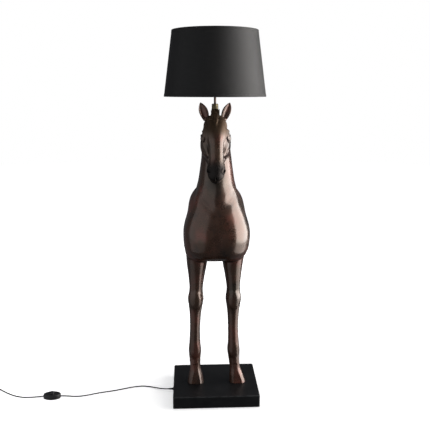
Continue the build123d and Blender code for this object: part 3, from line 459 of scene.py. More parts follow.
class Clay:
    """A block of space that shapes are added to and cut from."""

    def __init__(self, x, y, z):
        self.axes = [np.asarray(a, np.float32) for a in (x, y, z)]
        self.values = np.full([len(a) for a in self.axes], 60.0, np.float32)

    def region(self, low, high):
        """The slices and open coordinates of the part of the block between two corners."""
        slices = []
        for axis, a, b in zip(self.axes, low, high):
            slices.append(slice(int(np.searchsorted(axis, a)), int(np.searchsorted(axis, b, "right"))))
        x, y, z = (axis[s] for axis, s in zip(self.axes, slices))
        return tuple(slices), x[:, None, None], y[None, :, None], z[None, None, :]

    def add(self, shape, low, high, k, sign=1):
        """Join a shape on, with a rounded joint about k wide. Outside the two corners nothing changes."""
        slices, x, y, z = self.region(low, high)
        if all(s.stop > s.start for s in slices):
            self.values[slices] = sign * smooth_min(sign * self.values[slices], shape(x, y, z), k)

    def cut(self, shape, low, high, k):
        """Take a shape away."""
        self.add(shape, low, high, k, sign=-1)

    def surface(self):
        """Points and outward quads of the zero surface: one point in each cell the surface crosses."""
        values = self.values
        inside = values < 0
        cells = [n - 1 for n in values.shape]
        count = np.zeros(cells, np.uint8)
        for i, j, k in CELL_CORNERS:
            count += inside[i:i + cells[0], j:j + cells[1], k:k + cells[2]]
        active = np.argwhere((count > 0) & (count < 8))
        number = np.full(cells, -1, np.int32)
        number[tuple(active.T)] = np.arange(len(active))
        total = np.zeros((len(active), 3))
        hits = np.zeros(len(active))
        for a in CELL_CORNERS:
            for axis in range(3):
                if a[axis]:
                    continue
                b = a.copy()
                b[axis] = 1
                pa, pb = active + a, active + b
                va, vb = values[tuple(pa.T)].astype(float), values[tuple(pb.T)].astype(float)
                crossing = (va < 0) != (vb < 0)
                t = np.where(crossing, va / np.where(crossing, va - vb, 1), 0)
                for d in range(3):
                    ca, cb = self.axes[d][pa[:, d]], self.axes[d][pb[:, d]]
                    total[:, d] += np.where(crossing, ca + t * (cb - ca), 0)
                hits += crossing
        points = total / hits[:, None]
        quads = []
        for axis in range(3):
            u, v = [(1, 2), (2, 0), (0, 1)][axis]
            first = np.take(inside, np.arange(inside.shape[axis] - 1), axis)
            second = np.take(inside, np.arange(1, inside.shape[axis]), axis)
            edges = np.argwhere(first != second)
            edges = edges[(edges[:, u] > 0) & (edges[:, v] > 0)
                          & (edges[:, u] < values.shape[u] - 1) & (edges[:, v] < values.shape[v] - 1)]
            ring = []
            for du, dv in ((-1, -1), (0, -1), (0, 0), (-1, 0)):
                cell = edges.copy()
                cell[:, u] += du
                cell[:, v] += dv
                ring.append(number[tuple(cell.T)])
            quad = np.stack(ring, 1)
            outward = first[tuple(edges.T)]
            quad[~outward] = quad[~outward][:, ::-1]
            quads.append(quad)
        return points, np.concatenate(quads)

    def normals_at(self, points):
        """Outward unit normals of the field, by differences of its interpolated values."""
        step = 0.8
        gradient = np.zeros_like(points)
        for d in range(3):
            ahead, behind = points.copy(), points.copy()
            ahead[:, d] += step
            behind[:, d] -= step
            gradient[:, d] = self.read(ahead) - self.read(behind)
        return gradient / np.maximum(np.linalg.norm(gradient, axis=1, keepdims=True), 1e-9)

    def read(self, points):
        """The field's values at points, interpolated inside the grid's cells."""
        index, part = [], []
        for d in range(3):
            axis = self.axes[d]
            i = np.clip(np.searchsorted(axis, points[:, d]) - 1, 0, len(axis) - 2)
            index.append(i)
            part.append(np.clip((points[:, d] - axis[i]) / (axis[i + 1] - axis[i]), 0, 1))
        result = np.zeros(len(points))
        for i, j, k in CELL_CORNERS:
            weight = ((part[0] if i else 1 - part[0]) * (part[1] if j else 1 - part[1])
                      * (part[2] if k else 1 - part[2]))
            result += weight * self.values[index[0] + i, index[1] + j, index[2] + k]
        return result


def neighbour_average(points, edges, degree):
    """Each point's mean neighbour in the net."""
    total = np.zeros_like(points)
    for d in range(3):
        total[:, d] = (np.bincount(edges[:, 0], points[edges[:, 1], d], len(points))
                       + np.bincount(edges[:, 1], points[edges[:, 0], d], len(points)))
    return total / degree[:, None]


def relax(points, edges, degree, clay, rounds=3, strength=0.5):
    """Even out the net along the surface, then pull it back on to the zero surface."""
    for _ in range(rounds):
        points = points + strength * (neighbour_average(points, edges, degree) - points)
        normals = clay.normals_at(points)
        points = points - normals * np.clip(clay.read(points), -1.5, 1.5)[:, None]
    return points


def skin_mesh(name, clay):
    """The clay's surface as a mesh in metres. Its "hollow" layer holds how far each point lies below its
    surroundings, in millimetres."""
    points, quads = clay.surface()
    edges = np.concatenate([quads[:, [0, 1]], quads[:, [1, 2]], quads[:, [2, 3]], quads[:, [3, 0]]])
    degree = np.bincount(edges.ravel(), minlength=len(points)).astype(float)
    points = relax(points, edges, degree, clay)
    average = points
    for _ in range(HOLLOW_ROUNDS):
        average = neighbour_average(average, edges, degree)
    hollow = ((average - points) * clay.normals_at(points)).sum(1)
    mesh = mesh_from(name, points * MM, quads)
    layer = mesh.attributes.new("hollow", "FLOAT", "POINT")
    layer.data.foreach_set("value", hollow.astype(np.float32))
    return mesh


def stations_axis(*stretches):
    """Grid lines from stretches of (start, end, step)."""
    lines = []
    for start, end, step in stretches:
        lines.append(np.arange(start, end - step / 2, step))
    lines.append(np.array([stretches[-1][1]]))
    return np.concatenate(lines)


# ---------------- the figure's shape
# height, half width, front y, back y
NECK = [
    (690, 40, -92, 108),
    (760, 65, -105, 126),
    (840, 82, -102, 142),
    (900, 83, -91, 140),
    (960, 73, -78, 124),
    (1040, 62, -64, 101),
    (1130, 53, -46, 78),
    (1175, 41, -25, 56),
    (1199, 18, 2, 34),
]
BARREL = [
    (608, 18, -12, 26),
    (615, 72, -56, 66),
    (630, 110, -90, 104),
    (655, 129, -117, 133),
    (690, 137, -130, 149),
    (740, 139, -134, 158),
    (795, 126, -124, 159),
    (850, 105, -105, 154),
    (905, 83, -83, 141),
    (950, 56, -50, 112),
    (978, 10, 10, 50),
]
# height, half width, front y, back y, left leg's centre x, right leg's centre x
LEG = [
    (54, 36, -48, 19, -86, 98),        # sole
    (85, 30, -38, 16, -86, 93),
    (120, 23, -27, 15, -87, 87),       # top of the hoof
    (160, 24, -25, 23, -88, 83),       # pastern
    (195, 27, -28, 31, -88, 81),       # fetlock
    (235, 24, -28, 24, -88, 80),
    (300, 22, -28, 20, -87, 78),       # cannon
    (370, 25, -32, 22, -85, 78),
    (437, 32, -43, 26, -83, 78),       # knee
    (485, 29, -38, 30, -81, 78),
    (540, 35, -44, 48, -79, 77),       # forearm
    (600, 44, -58, 72, -77, 76),       # elbow
    (650, 46, -73, 87, -77, 82),
    (705, 42, -76, 88, -79, 88),
    (760, 20, -42, 56, -80, 90),       # inside the barrel
    (772, 8, -16, 30, -80, 90),
]
PLINTH_TOP = 54.0
POLL = np.array([0.0, -12.0, 1212.0])
FACE_AXIS = np.array([0.0, -134.0, -254.0])
FACE_AXIS /= np.linalg.norm(FACE_AXIS)
FACE_OUT = np.array([0.0, FACE_AXIS[2], -FACE_AXIS[1]])
# distance down the face, half width, front, back (both from the face's axis)
NOSE = [
    (40, 40, 48, -30), (70, 42, 53, -30), (100, 38.5, 53, -28), (140, 32, 49, -24), (180, 29.5, 43, -22),
    (210, 29.5, 38, -22), (232, 29, 34, -20), (252, 22, 27, -14), (262, 8, 14, -4),
]


def sway(height):
    """The body and neck stand a little to the right of the head and legs."""
    return np.interp(height, [600, 660, 1040, 1170], [0.0, 6.5, 6.5, 0.0])


def legs(clay):
    """Both forelegs with their hooves, knees, tendons, fetlocks and heels."""
    for side_column, side in ((4, -1), (5, 1)):
        def centre_x(height, side_column=side_column):
            return through(LEG, side_column, height)

        def middle(height):
            return float(centre_x(np.array([height]))[0])

        x_low, x_high = (-160, -20) if side < 0 else (20, 160)
        clay.add(lambda x, y, z: column(x, y, z, LEG, centre_x, 2.15, 2.15),
                 (x_low, -105, 50), (x_high, 120, 790), 20)
        knee_x, cannon_x = middle(437.0), middle(300.0)
        detail = [
            ((knee_x, -35, 436), (19, 9, 32), 14),              # kneecap
            ((knee_x - 19, -12, 440), (10, 17, 20), 12),        # sides of the knee
            ((knee_x + 19, -12, 440), (10, 17, 20), 12),
            ((knee_x, 25, 449), (9, 9, 14), 9),                 # back of the knee
            ((middle(188.0), 27, 186), (12, 8, 13), 9),         # back of the fetlock
            ((middle(202.0), -20, 204), (17, 6, 24), 14),       # front of the fetlock
        ]
        for centre, radii, k in detail:
            reach = max(radii) + k + 12
            low, high = [c - reach for c in centre], [c + reach for c in centre]
            clay.add(lambda x, y, z: ellipsoid(x, y, z, centre, radii), low, high, k)
        clay.add(lambda x, y, z: capsule(x, y, z, (knee_x, 14, 425), (cannon_x, 15, 200), 8, 8.5),
                 (x_low, -20, 150), (x_high, 60, 480), 12)
        for edge in (-1, 1):
            heel_x = middle(76.0) + edge * 12
            clay.add(lambda x, y, z: ellipsoid(x, y, z, (heel_x, 12, 82), (12, 9, 14)),
                     (heel_x - 35, -15, 55), (heel_x + 35, 40, 115), 5)
        clay.cut(toe_facet, (x_low, -110, 50), (x_high, -12, 140), 1.2)


def toe_facet(x, y, z):
    """Everything in front of the flat that is rasped down the toe of each hoof."""
    top_y, top_z, sole_y, sole_z = -26.5, 120.0, -42.0, 57.0
    dy, dz = sole_y - top_y, sole_z - top_z
    return ((y - top_y) * -dz + (z - top_z) * dy) / math.hypot(dy, dz) + 0 * x


def shoulder_blade(x, y, z, side):
    """Rounded shoulder that leans back towards the withers."""
    return ellipsoid(x, y - 0.45 * (z - 820), z, (side * 64 + 6, 12, 820), (54, 88, 91))


def torso_and_neck(clay):
    """Barrel, neck, chest muscles and shoulders."""
    clay.add(lambda x, y, z: column(x, y, z, BARREL, sway, 2.85, 2.2), (-175, -175, 560), (175, 190, 1030), 1)
    clay.add(lambda x, y, z: column(x, y, z, NECK, sway), (-125, -150, 660), (125, 180, 1240), 12)
    for side in (-1, 1):
        clay.add(lambda x, y, z: shoulder_blade(x, y, z, side), (-175, -175, 690), (175, 190, 960), 10)
        centre, radii = (side * 46 + 6, -84, 705), (42, 40, 66)
        clay.add(lambda x, y, z: ellipsoid(x, y, z, centre, radii), (-150, -175, 560), (160, 20, 850), 38)
        hollow = (side * 80 + 6, -70, 902), (side * 30 + 6, -132, 850)
        clay.cut(lambda x, y, z: capsule(x, y, z, *hollow, 2, 2), (-150, -190, 770), (155, 10, 980), 36)


def in_head(x, y, z):
    """Head coordinates: across, down the face, out of the face."""
    down = (y - POLL[1]) * FACE_AXIS[1] + (z - POLL[2]) * FACE_AXIS[2]
    out = (y - POLL[1]) * FACE_OUT[1] + (z - POLL[2]) * FACE_OUT[2]
    return x, down, out


def from_head(across, down, out):
    """The lamp's coordinates of a point in head coordinates."""
    return POLL + FACE_AXIS * down + FACE_OUT * out + np.array([across, 0.0, 0.0])


def head_ball(clay, centre, radii, k, cut=False):
    """Add or cut an ellipsoid given in head coordinates."""
    middle = from_head(*centre)
    reach = max(radii) + k + 8
    change = clay.cut if cut else clay.add
    change(lambda x, y, z: ellipsoid(*in_head(x, y, z), centre, radii), middle - reach, middle + reach, k)


def head_rod(clay, start, end, start_radius, end_radius, k, cut=False):
    """Add or cut a tapering rod given in head coordinates."""
    ends = np.array([from_head(*start), from_head(*end)])
    reach = max(start_radius, end_radius) + k + 8
    change = clay.cut if cut else clay.add
    change(lambda x, y, z: capsule(*in_head(x, y, z), start, end, start_radius, end_radius),
           ends.min(0) - reach, ends.max(0) + reach, k)


def nose_field(x, y, z):
    """The face's long box, read along the face's axis."""
    across, down, out = in_head(x, y, z)
    flat = np.clip(down, NOSE[0][0], NOSE[-1][0])
    half = np.maximum(through(NOSE, 1, flat.ravel()).reshape(flat.shape), 0.5)
    front = through(NOSE, 2, flat.ravel()).reshape(flat.shape)
    back = through(NOSE, 3, flat.ravel()).reshape(flat.shape)
    middle, depth = (front + back) / 2, np.maximum((front - back) / 2, 0.5)
    return capped(section(across, out - middle, half, depth, 2.5), np.abs(down - flat))


def head(clay):
    """Skull, cheeks, muzzle, brows, eyes, nostrils and mouth."""
    head_ball(clay, (0, 44, -10), (47, 49, 50), 14)
    clay.add(nose_field, (-80, -235, 915), (80, 60, 1240), 14)
    for side in (-1, 1):
        head_ball(clay, (side * 31, 118, -24), (30, 54, 45), 15)  # cheek
        head_rod(clay, (side * 25, 128, -50), (side * 12, 234, -26), 15, 12, 14)  # jaw
        head_ball(clay, (side * 38, 86, 17), (18, 28, 15), 12)  # brow
        head_rod(clay, (side * 47, 118, 5), (side * 33, 176, 12), 7, 4, 9)  # cheek ridge
    head_ball(clay, (-1.5, 234, 2), (35, 40, 34), 14)  # muzzle
    head_ball(clay, (-2, 259, 4), (30.5, 25, 24), 10)  # upper lip
    head_ball(clay, (-2, 257, -24), (25, 25, 14), 6)  # lower lip
    for side in (-1, 1):
        head_ball(clay, (side * 45, 52, 18), (10, 16, 10), 14, cut=True)  # temple
        head_rod(clay, (side * 39, 146, 40), (side * 34, 212, 32), 5, 5, 12, cut=True)  # beside the nose
        head_ball(clay, (side * 25 - 1.5, 240, 17), (13, 18, 13), 6)  # nostril's rim
        head_rod(clay, (side * 29 - 1.5, 250, 26), (side * 36 - 1.5, 234, 20), 5.5, 8.0, 3, cut=True)
        head_ball(clay, (side * 57, 104, 14), (11, 20, 15), 9, cut=True)  # eye socket
        head_ball(clay, (side * 45, 105, 9), (16, 15, 14.5), 1.2)  # eyeball
        head_rod(clay, (side * 55, 88, 1), (side * 50, 92, 22), 4.8, 4.4, 4)  # eyelids
        head_rod(clay, (side * 50, 92, 22), (side * 46, 111, 25), 4.6, 3.0, 4)
        head_rod(clay, (side * 55, 88, 1), (side * 57, 112, -7), 4.4, 2.8, 4)
        head_rod(clay, (side * 57, 114, -6), (side * 51.5, 123, 12), 2.8, 2.6, 4)
    head_ball(clay, (-2, 268, -9.5), (38, 34, 1.8), 2.0, cut=True)  # mouth
    head_ball(clay, (-2, 280, 16), (1.6, 12, 8), 3.0, cut=True)  # lip's groove


# y and z down the back of the neck
CREST_LINE = [
    (2, 1193), (20, 1194), (40, 1184), (58, 1162), (75, 1125),
    (90, 1078), (108, 1008), (124, 950), (138, 900),
]
CREST_HEIGHT, CREST_HALF = 25.0, 8.5


def crest_distance(y, z):
    """Distance from the neck's back line, and how far along it, in the lamp's middle plane."""
    best = np.full(np.broadcast(y, z).shape, 1e9, np.float32)
    along = np.zeros_like(best)
    done = 0.0
    for (ya, za), (yb, zb) in zip(CREST_LINE, CREST_LINE[1:]):
        dy, dz = yb - ya, zb - za
        length = math.hypot(dy, dz)
        t = np.clip(((y - ya) * dy + (z - za) * dz) / length ** 2, 0, 1)
        distance = np.sqrt((y - ya - t * dy) ** 2 + (z - za - t * dz) ** 2)
        nearer = distance < best
        best = np.where(nearer, distance, best)
        along = np.where(nearer, done + t * length, along)
        done += length
    return best, along, done


def mane(clay):
    """Short upright mane from the forelock over the poll and down the neck, and the tuft under the collar."""
    def crest(x, y, z):
        distance, along, whole = crest_distance(y, z)
        height = CREST_HEIGHT * np.clip((whole - along) / 90, 0, 1) ** 0.7
        combed = 0.9 * np.sin(along * 2 * np.pi / 8.5 + 0.03 * x * x)
        combed = combed + 0.4 * np.sin(along * 2 * np.pi / 3.9 + 1)
        rounding = 4.0
        half = CREST_HALF - 0.14 * distance + 0.35 * np.sin(along * 2 * np.pi / 4.3)
        a = distance - (height + combed) + rounding
        b = np.abs(x - sway(z)) - half + rounding
        outside = np.sqrt(np.maximum(a, 0) ** 2 + np.maximum(b, 0) ** 2)
        return outside + np.minimum(np.maximum(a, b), 0) - rounding

    clay.add(crest, (-40, -30, 870), (40, 200, 1250), 5)

    def tuft(x, y, z):
        angle = np.arctan2(y, x)
        strands = 1.0 * np.sin(angle * 15 + 0.06 * z) + 0.5 * np.sin(angle * 29 - 0.05 * z + 1)
        t = np.clip((1237 - z) / 46, 0, 1)
        radius = 14.0 + 12.0 * t ** 2.0 + strands * np.clip(t * 2.5, 0.25, 1)
        field = np.sqrt(x ** 2 + (y + 6 * t) ** 2) - radius
        return np.maximum(field, z - 1236)

    clay.add(tuft, (-45, -50, 1185), (45, 45, 1246), 4)

    def forelock(x, y, z):
        across, down, out = in_head(x, y, z)
        t = np.clip(down / 62, 0, 1)
        strands = 1.7 * np.sin(across * 2 * np.pi / 6.5 + 0.04 * down)
        k = np.sqrt((across / (19 * (1 - 0.75 * t))) ** 2 + ((out - 40 - 13 * t) / (7.5 * (1 - 0.5 * t))) ** 2
                    + ((down - 22) / 44) ** 2)
        return (k - 1) * 9 - strands * np.clip(1.6 - 1.5 * t, 0, 1)

    clay.add(forelock, (-45, -110, 1140), (45, 20, 1240), 5)


def sculpt():
    """The whole figure in one block of clay."""
    s = 1.0
    clay = Clay(stations_axis((-156, -72, 2.6 * s), (-72, 72, 1.8 * s), (72, 160, 2.6 * s)),
                stations_axis((-190, 50, 2.15 * s), (50, 200, 2.8 * s)),
                stations_axis((50, 122, 1.7 * s), (122, 560, 2.6 * s), (560, 930, 4.7 * s),
                              (930, 1246, 1.45 * s)))
    torso_and_neck(clay)
    legs(clay)
    head(clay)
    mane(clay)
    clay.values = np.maximum(clay.values, (PLINTH_TOP - clay.axes[2])[None, None, :])
    return clay


NECK_CUT_POINT = Vector((0, -0.010, 1.120))
NECK_CUT_NORMAL = Vector((0, -0.85, 0.52)).normalized()
SEAM = Vector((0, 0, 0.602))


def slab(mesh, cuts):
    """The part of a mesh on the kept side of each (point, normal) plane."""
    work = bmesh.new()
    work.from_mesh(mesh)
    for point, normal in cuts:
        bmesh.ops.bisect_plane(work, geom=work.verts[:] + work.edges[:] + work.faces[:], dist=1e-6,
                               plane_co=point, plane_no=normal, clear_inner=True)
    part = bpy.data.meshes.new("part")
    work.to_mesh(part)
    work.free()
    return part


def make_part(whole, name, cuts, clay, material):
    """Cut one casting out of the figure, with the field's normals so that no seam shows."""
    part = slab(whole, cuts)
    part.name = name + "_skin"
    points = np.zeros(len(part.vertices) * 3)
    part.vertices.foreach_get("co", points)
    normals = clay.normals_at(points.reshape(-1, 3) / MM)
    part.polygons.foreach_set("use_smooth", [True] * len(part.polygons))
    part.normals_split_custom_set_from_vertices([tuple(n) for n in normals])
    stand_for(new_object(name + "_skin", part, material), "bronze_finish", name)


def make_figure(material):
    """Legs, torso and head, cut from one sculpted mesh at the castings' joints."""
    clay = sculpt()
    whole = skin_mesh("figure", clay)
    up, down = Vector((0, 0, 1)), Vector((0, 0, -1))
    left, right = Vector((-1, 0, 0)), Vector((1, 0, 0))
    origin = Vector((0, 0, 0))
    parts = {
        "leg_left": [(SEAM, down), (origin, left)],
        "leg_right": [(SEAM, down), (origin, right)],
        "torso": [(SEAM, up), (NECK_CUT_POINT, -NECK_CUT_NORMAL)],
        "head": [(SEAM, up), (NECK_CUT_POINT, NECK_CUT_NORMAL)],
    }
    for name, cuts in parts.items():
        make_part(whole, name, cuts, clay, material)


# ears: distance from root to tip as a share, half width, thickness behind, thickness in front
EAR = [(0.0, 12.0, 10, 9), (0.15, 15.2, 11, 9), (0.35, 18.2, 11.5, 8), (0.5, 18.8, 11, 7),
       (0.68, 16.2, 9.5, 6),
       (0.84, 10.5, 6.8, 4.5), (0.95, 4.6, 3.6, 2.6), (1.0, 1.0, 1.0, 1.0)]


def make_ear(name, root, tip, facing, material):
    """Cupped leaf-shaped ear between its root and tip, open towards facing."""
    root, tip = np.array(root, float), np.array(tip, float)
    axis = tip - root
    length = np.linalg.norm(axis)
    axis /= length
    facing = np.array(facing, float)
    facing -= facing.dot(axis) * axis
    facing /= np.linalg.norm(facing)
    across = np.cross(axis, facing)

    def local(x, y, z):
        parts = [(x - root[0]), (y - root[1]), (z - root[2])]
        return [sum(p * v[i] for i, p in enumerate(parts)) for v in (axis, across, facing)]

    def leaf(x, y, z, scale=1.0, shift=0.0, shorten=0.0):
        s, a, f = local(x, y, z)
        share = np.clip(s / length, 0, 1)
        shape = share.shape
        half, back, front = (through(EAR, c, share.ravel()).reshape(shape) * scale for c in (1, 2, 3))
        f = f - shift * half
        depth = np.where(f < 0, back, front)
        field = section(a, f, np.maximum(half, 0.3), np.maximum(depth, 0.3))
        return capped(field, np.maximum(shorten - s, s - length + shorten * 0.6))

    step = 0.95
    low = np.minimum(root, tip) - 26
    high = np.maximum(root, tip) + 26
    clay = Clay(*[np.arange(a, b, step) for a, b in zip(low, high)])
    clay.add(leaf, low, high, 0.5)
    clay.cut(lambda x, y, z: leaf(x, y, z, 0.80, 0.42, 9.0), low, high, 1.6)
    piece = new_object(name, skin_mesh(name, clay), material)
    stand_for(piece, "bronze_finish", name.replace("_skin", ""))


# ---------------- materials of the figure
def bronze_material():
    """Glossy dark bronze: brown ground with reddish and olive patches, near black round the muzzle, with
    painted shade over the crown of the head.
    """
    look = Look("bronze_finish")
    ground = look.ramp(look.noise(9.0, 5.0), (0.32, (0.014, 0.008, 0.006)), (0.5, (0.050, 0.022, 0.013)),
                       (0.66, (0.098, 0.030, 0.020)))
    olive = look.ramp(look.noise(5.0, 3.0), (0.5, grey(0)), (0.72, grey(0.55)))
    layer = look.make("ShaderNodeAttribute", attribute_name="hollow").outputs["Fac"]
    hollow = look.ramp(layer, (0.16, grey(0)), (0.6, grey(0.85)), interpolation="LINEAR")
    muzzle = look.near(from_head(0, 262, -2) * MM, 0.045, 0.085)
    # Painted shade: the crown of the head is darkened and dulled, standing in for the shade across the
    # forehead and poll.
    painted_shade_crown = look.near(from_head(0, 40, 42) * MM, 0.048, 0.092)
    colour = look.blend(olive, ground, (0.045, 0.036, 0.018))
    gloss = look.ramp(look.noise(28.0), (0.3, grey(0.24)), (0.7, grey(0.35)))
    # Darkened patches: dark patina in the hollows, near black round the muzzle, and painted shade over the
    # crown.
    dark_patches_and_painted_shade = [(hollow, (0.008, 0.005, 0.004), 0.62), (muzzle, (0.010, 0.009, 0.009), 0.48),
              (painted_shade_crown, (0.034, 0.021, 0.012), 0.55)]
    for mask, tint, roughness in dark_patches_and_painted_shade:
        colour = look.blend(mask, colour, tint)
        gloss = look.blend(mask, gloss, grey(roughness))
    # Mask of all the darkened patches, the painted shade on the crown among them: there the finish is more
    # metallic and carries less coat.
    darkened_mask = look.maths("MAXIMUM", look.maths("MAXIMUM", muzzle, hollow), painted_shade_crown)
    return look.finish({
        "Base Color": colour,
        "Roughness": gloss,
        "Metallic": look.remap(darkened_mask, To_Min=0.35, To_Max=0.85),
        "Specular IOR Level": 0.62,
        "Specular Tint": (1.0, 0.86, 0.78),
        "Coat Weight": look.blend(darkened_mask, grey(0.42), grey(0.04)),
        "Coat Roughness": 0.15,
        "Normal": look.bump(look.noise(45.0, 3.0), 0.5, 0.0006),
    })


# ---------------- shade
SHADE_BOTTOM, SHADE_TOP = 1.286, 1.542
SHADE_BOTTOM_RADIUS, SHADE_TOP_RADIUS = 0.205, 0.171
COVER_THICKNESS, LINING_THICKNESS = 0.0008, 0.0010
HEM_WIDTH, HEM_RISE = 0.0105, 0.00045
SHADE_STEPS = 288
SEAM_HALF_WIDTH, SEAM_EDGE, SEAM_RISE = 0.005, 0.0012, 0.0004


def shade_share(height):
    """How far up the shade a height is, from 0 to 1."""
    return (height - SHADE_BOTTOM) / (SHADE_TOP - SHADE_BOTTOM)


def shade_radius(height):
    return SHADE_BOTTOM_RADIUS + (SHADE_TOP_RADIUS - SHADE_BOTTOM_RADIUS) * shade_share(height)


def shade_wall(name, outside, inside, material, seam=0.0):
    """Closed wall from (height, offset) lists up the outside and up the inside. seam is the rise of a lapped
    seam at the back."""
    profile = [(shade_radius(z) + r, z, 1) for z, r in outside]
    profile += [(shade_radius(z) + r, z, 0) for z, r in inside[::-1]]
    vertices = []
    for r, z, is_outside in profile:
        for a in turn_angles(SHADE_STEPS):
            aside = (a - math.pi / 2) * r
            lap = seam * smooth_step((SEAM_HALF_WIDTH - abs(aside)) / SEAM_EDGE) * is_outside
            vertices.append(((r + lap) * math.cos(a), (r + lap) * math.sin(a), z))
    faces = grid_faces(len(profile), SHADE_STEPS, close_rows=True, close_columns=True)
    mesh = mesh_from(name, vertices, faces)
    uv = mesh.uv_layers.new(name="UVMap")
    for face in mesh.polygons:
        columns = [v % SHADE_STEPS for v in face.vertices]
        wraps = max(columns) - min(columns) > 1
        for corner, vertex, step in zip(face.loop_indices, face.vertices, columns):
            turn = (step + SHADE_STEPS * (wraps and step == 0)) / SHADE_STEPS
            uv.data[corner].uv = (turn, shade_share(mesh.vertices[vertex].co.z))
    tidy_mesh(mesh)
    return new_object(name, mesh, material, "shade")


def make_shade():
    """Cloth cover with a turned hem at both ends, and the lining behind it."""
    low, high = SHADE_BOTTOM, SHADE_TOP
    rows = [low + HEM_WIDTH + 0.001 + i * (high - low - 2 * HEM_WIDTH - 0.002) / 24 for i in range(25)]
    lower_hem = [(low + 0.0005, -0.0006), (low, -0.0001), (low + 0.0002, 0.0003), (low + 0.0008, HEM_RISE),
                 (low + HEM_WIDTH * 0.5, HEM_RISE), (low + HEM_WIDTH - 0.0004, HEM_RISE),
                 (low + HEM_WIDTH, 0.0003), (low + HEM_WIDTH + 0.0003, 0.0)]
    upper_hem = [(low + high - z, r) for z, r in lower_hem[::-1]]
    outside = lower_hem + [(z, 0.0) for z in rows] + upper_hem
    inside = [(low + 0.0009, -COVER_THICKNESS), (high - 0.0009, -COVER_THICKNESS)]
    cover = shade_wall("shade_fabric_cover", outside, inside, fabric_material(), seam=SEAM_RISE)
    stand_for(cover, "shade_fabric", "shade_cover")
    lining_rows = [low + 0.001 + i * (high - low - 0.002) / 12 for i in range(13)]
    depths = (-COVER_THICKNESS, -COVER_THICKNESS - LINING_THICKNESS)
    faces = [[(z, depth) for z in lining_rows] for depth in depths]
    lining = shade_wall("shade_white_lining", *faces, lining_material())
    stand_for(lining, "shade_liner", "shade_lining")


def fabric_material():
    """Black plain-weave cloth with slubs; the weave follows the cloth round the shade."""
    look = Look("shade_black_cloth")
    flat = look.coordinates.outputs["UV"]
    threads = {"Vector": look.stretched(flat, (1180.0, 258.0, 1.0)), "Scale": 0.62, "Distortion": 0.6,
               "Detail": 1.0, "Detail Scale": 0.4}
    waves = [look.make("ShaderNodeTexWave", threads, bands_direction=axis).outputs["Fac"] for axis in "XY"]
    weave = look.maths("MAXIMUM", *waves)
    slubs = look.noise(1.0, 3.0, look.stretched(flat, (30.0, 260.0, 1.0)))
    return look.finish({
        "Base Color": look.ramp(slubs, (0.35, (0.0038, 0.0038, 0.0041)), (0.7, (0.0068, 0.0068, 0.0072))),
        "Roughness": look.ramp(weave, (0.2, grey(0.62)), (0.9, grey(0.5))),
        "Specular IOR Level": 0.2,
        "Sheen Weight": 0.02,
        "Sheen Roughness": 0.4,
        "Normal": look.bump(weave, 0.5, 0.0002),
    })


def lining_material():
    """White laminated lining with a faint fibre pattern."""
    look = Look("shade_white_liner")
    fibres = look.noise(350.0, 5.0)
    return look.finish({
        "Base Color": look.ramp(fibres, (0.3, (0.70, 0.69, 0.66)), (0.7, (0.80, 0.79, 0.76))),
        "Roughness": look.ramp(fibres, (0.3, grey(0.5)), (0.7, grey(0.62))),
        "Normal": look.bump(fibres, 0.3, 0.00015),
    })


# ---------------- plinth and hardware finishes
def plinth_material():
    """Satin black lacquer: slightly uneven, with a painted highlight in patches along the upright and top
    edges.
    """
    look = Look("plinth_lacquer")
    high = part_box("plinth")[1]
    parts = look.make("ShaderNodeSeparateXYZ", {"Vector": look.place}).outputs
    distances = [look.maths("ABSOLUTE", parts["X"]), look.maths("ABSOLUTE", parts["Y"]), parts["Z"]]
    near_x, near_y, near_z = [look.remap(distance, From_Min=edge - 0.0052, From_Max=edge - 0.0012)
                              for distance, edge in zip(distances, high)]
    edges = look.maths("MULTIPLY", near_x, near_z)
    for pair in ((near_y, near_z), (near_x, near_y)):
        edges = look.maths("MAXIMUM", edges, look.maths("MULTIPLY", *pair))
    # Painted highlight: the upright and top edges are painted lighter, broken into patches by noise.
    highlight_patches = look.ramp(look.noise(55.0, 5.0), (0.35, grey(0.15)), (0.6, grey(1.0)))
    painted_edge_highlight = look.maths("MULTIPLY", edges, highlight_patches)
    ground = look.ramp(look.noise(14.0, 5.0), (0.3, (0.0028, 0.0030, 0.0036)),
                       (0.7, (0.0050, 0.0052, 0.0060)))
    uneven = look.maths("ADD", look.noise(22.0, 3.0), look.noise(700.0, 2.0))
    return look.finish({
        "Base Color": look.blend(painted_edge_highlight, ground, (0.022, 0.023, 0.025)),
        "Roughness": look.ramp(look.noise(32.0, 6.0), (0.3, grey(0.34)), (0.7, grey(0.46))),
        "Specular IOR Level": 0.30,
        "Normal": look.bump(uneven, 0.25, 0.0004),
    })


def aged_metal(name, colour, tarnish, roughness):
    """Metal with darker tarnish in patches and fine marks round it."""
    look = Look(name)
    patches = look.noise(120.0, 5.0)
    marks = look.noise(500.0, 3.0, look.stretched(look.place, (1.0, 1.0, 12.0)))
    return look.finish({
        "Base Color": look.ramp(patches, (0.38, tarnish), (0.66, colour)),
        "Roughness": look.ramp(patches, (0.3, grey(min(1.0, roughness * 1.5))), (0.7, grey(roughness))),
        "Metallic": 1.0,
        "Normal": look.bump(marks, 0.25, 0.00005),
    })


def glass_material():
    """Opal bulb glass, white and glossy."""
    look = Look("bulb_opal_glass")
    cloud = look.noise(40.0, 3.0)
    return look.finish({
        "Base Color": look.ramp(cloud, (0.3, (0.80, 0.80, 0.78)), (0.7, (0.86, 0.86, 0.84))),
        "Roughness": look.ramp(cloud, (0.3, grey(0.10)), (0.7, grey(0.16))),
        "Subsurface Weight": 0.25,
        "Subsurface Radius": (0.004, 0.004, 0.004),
    })


def dress(material, *nodes):
    """Give CAD nodes a finish."""
    for name in nodes:
        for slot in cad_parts[name].material_slots:
            slot.material = material


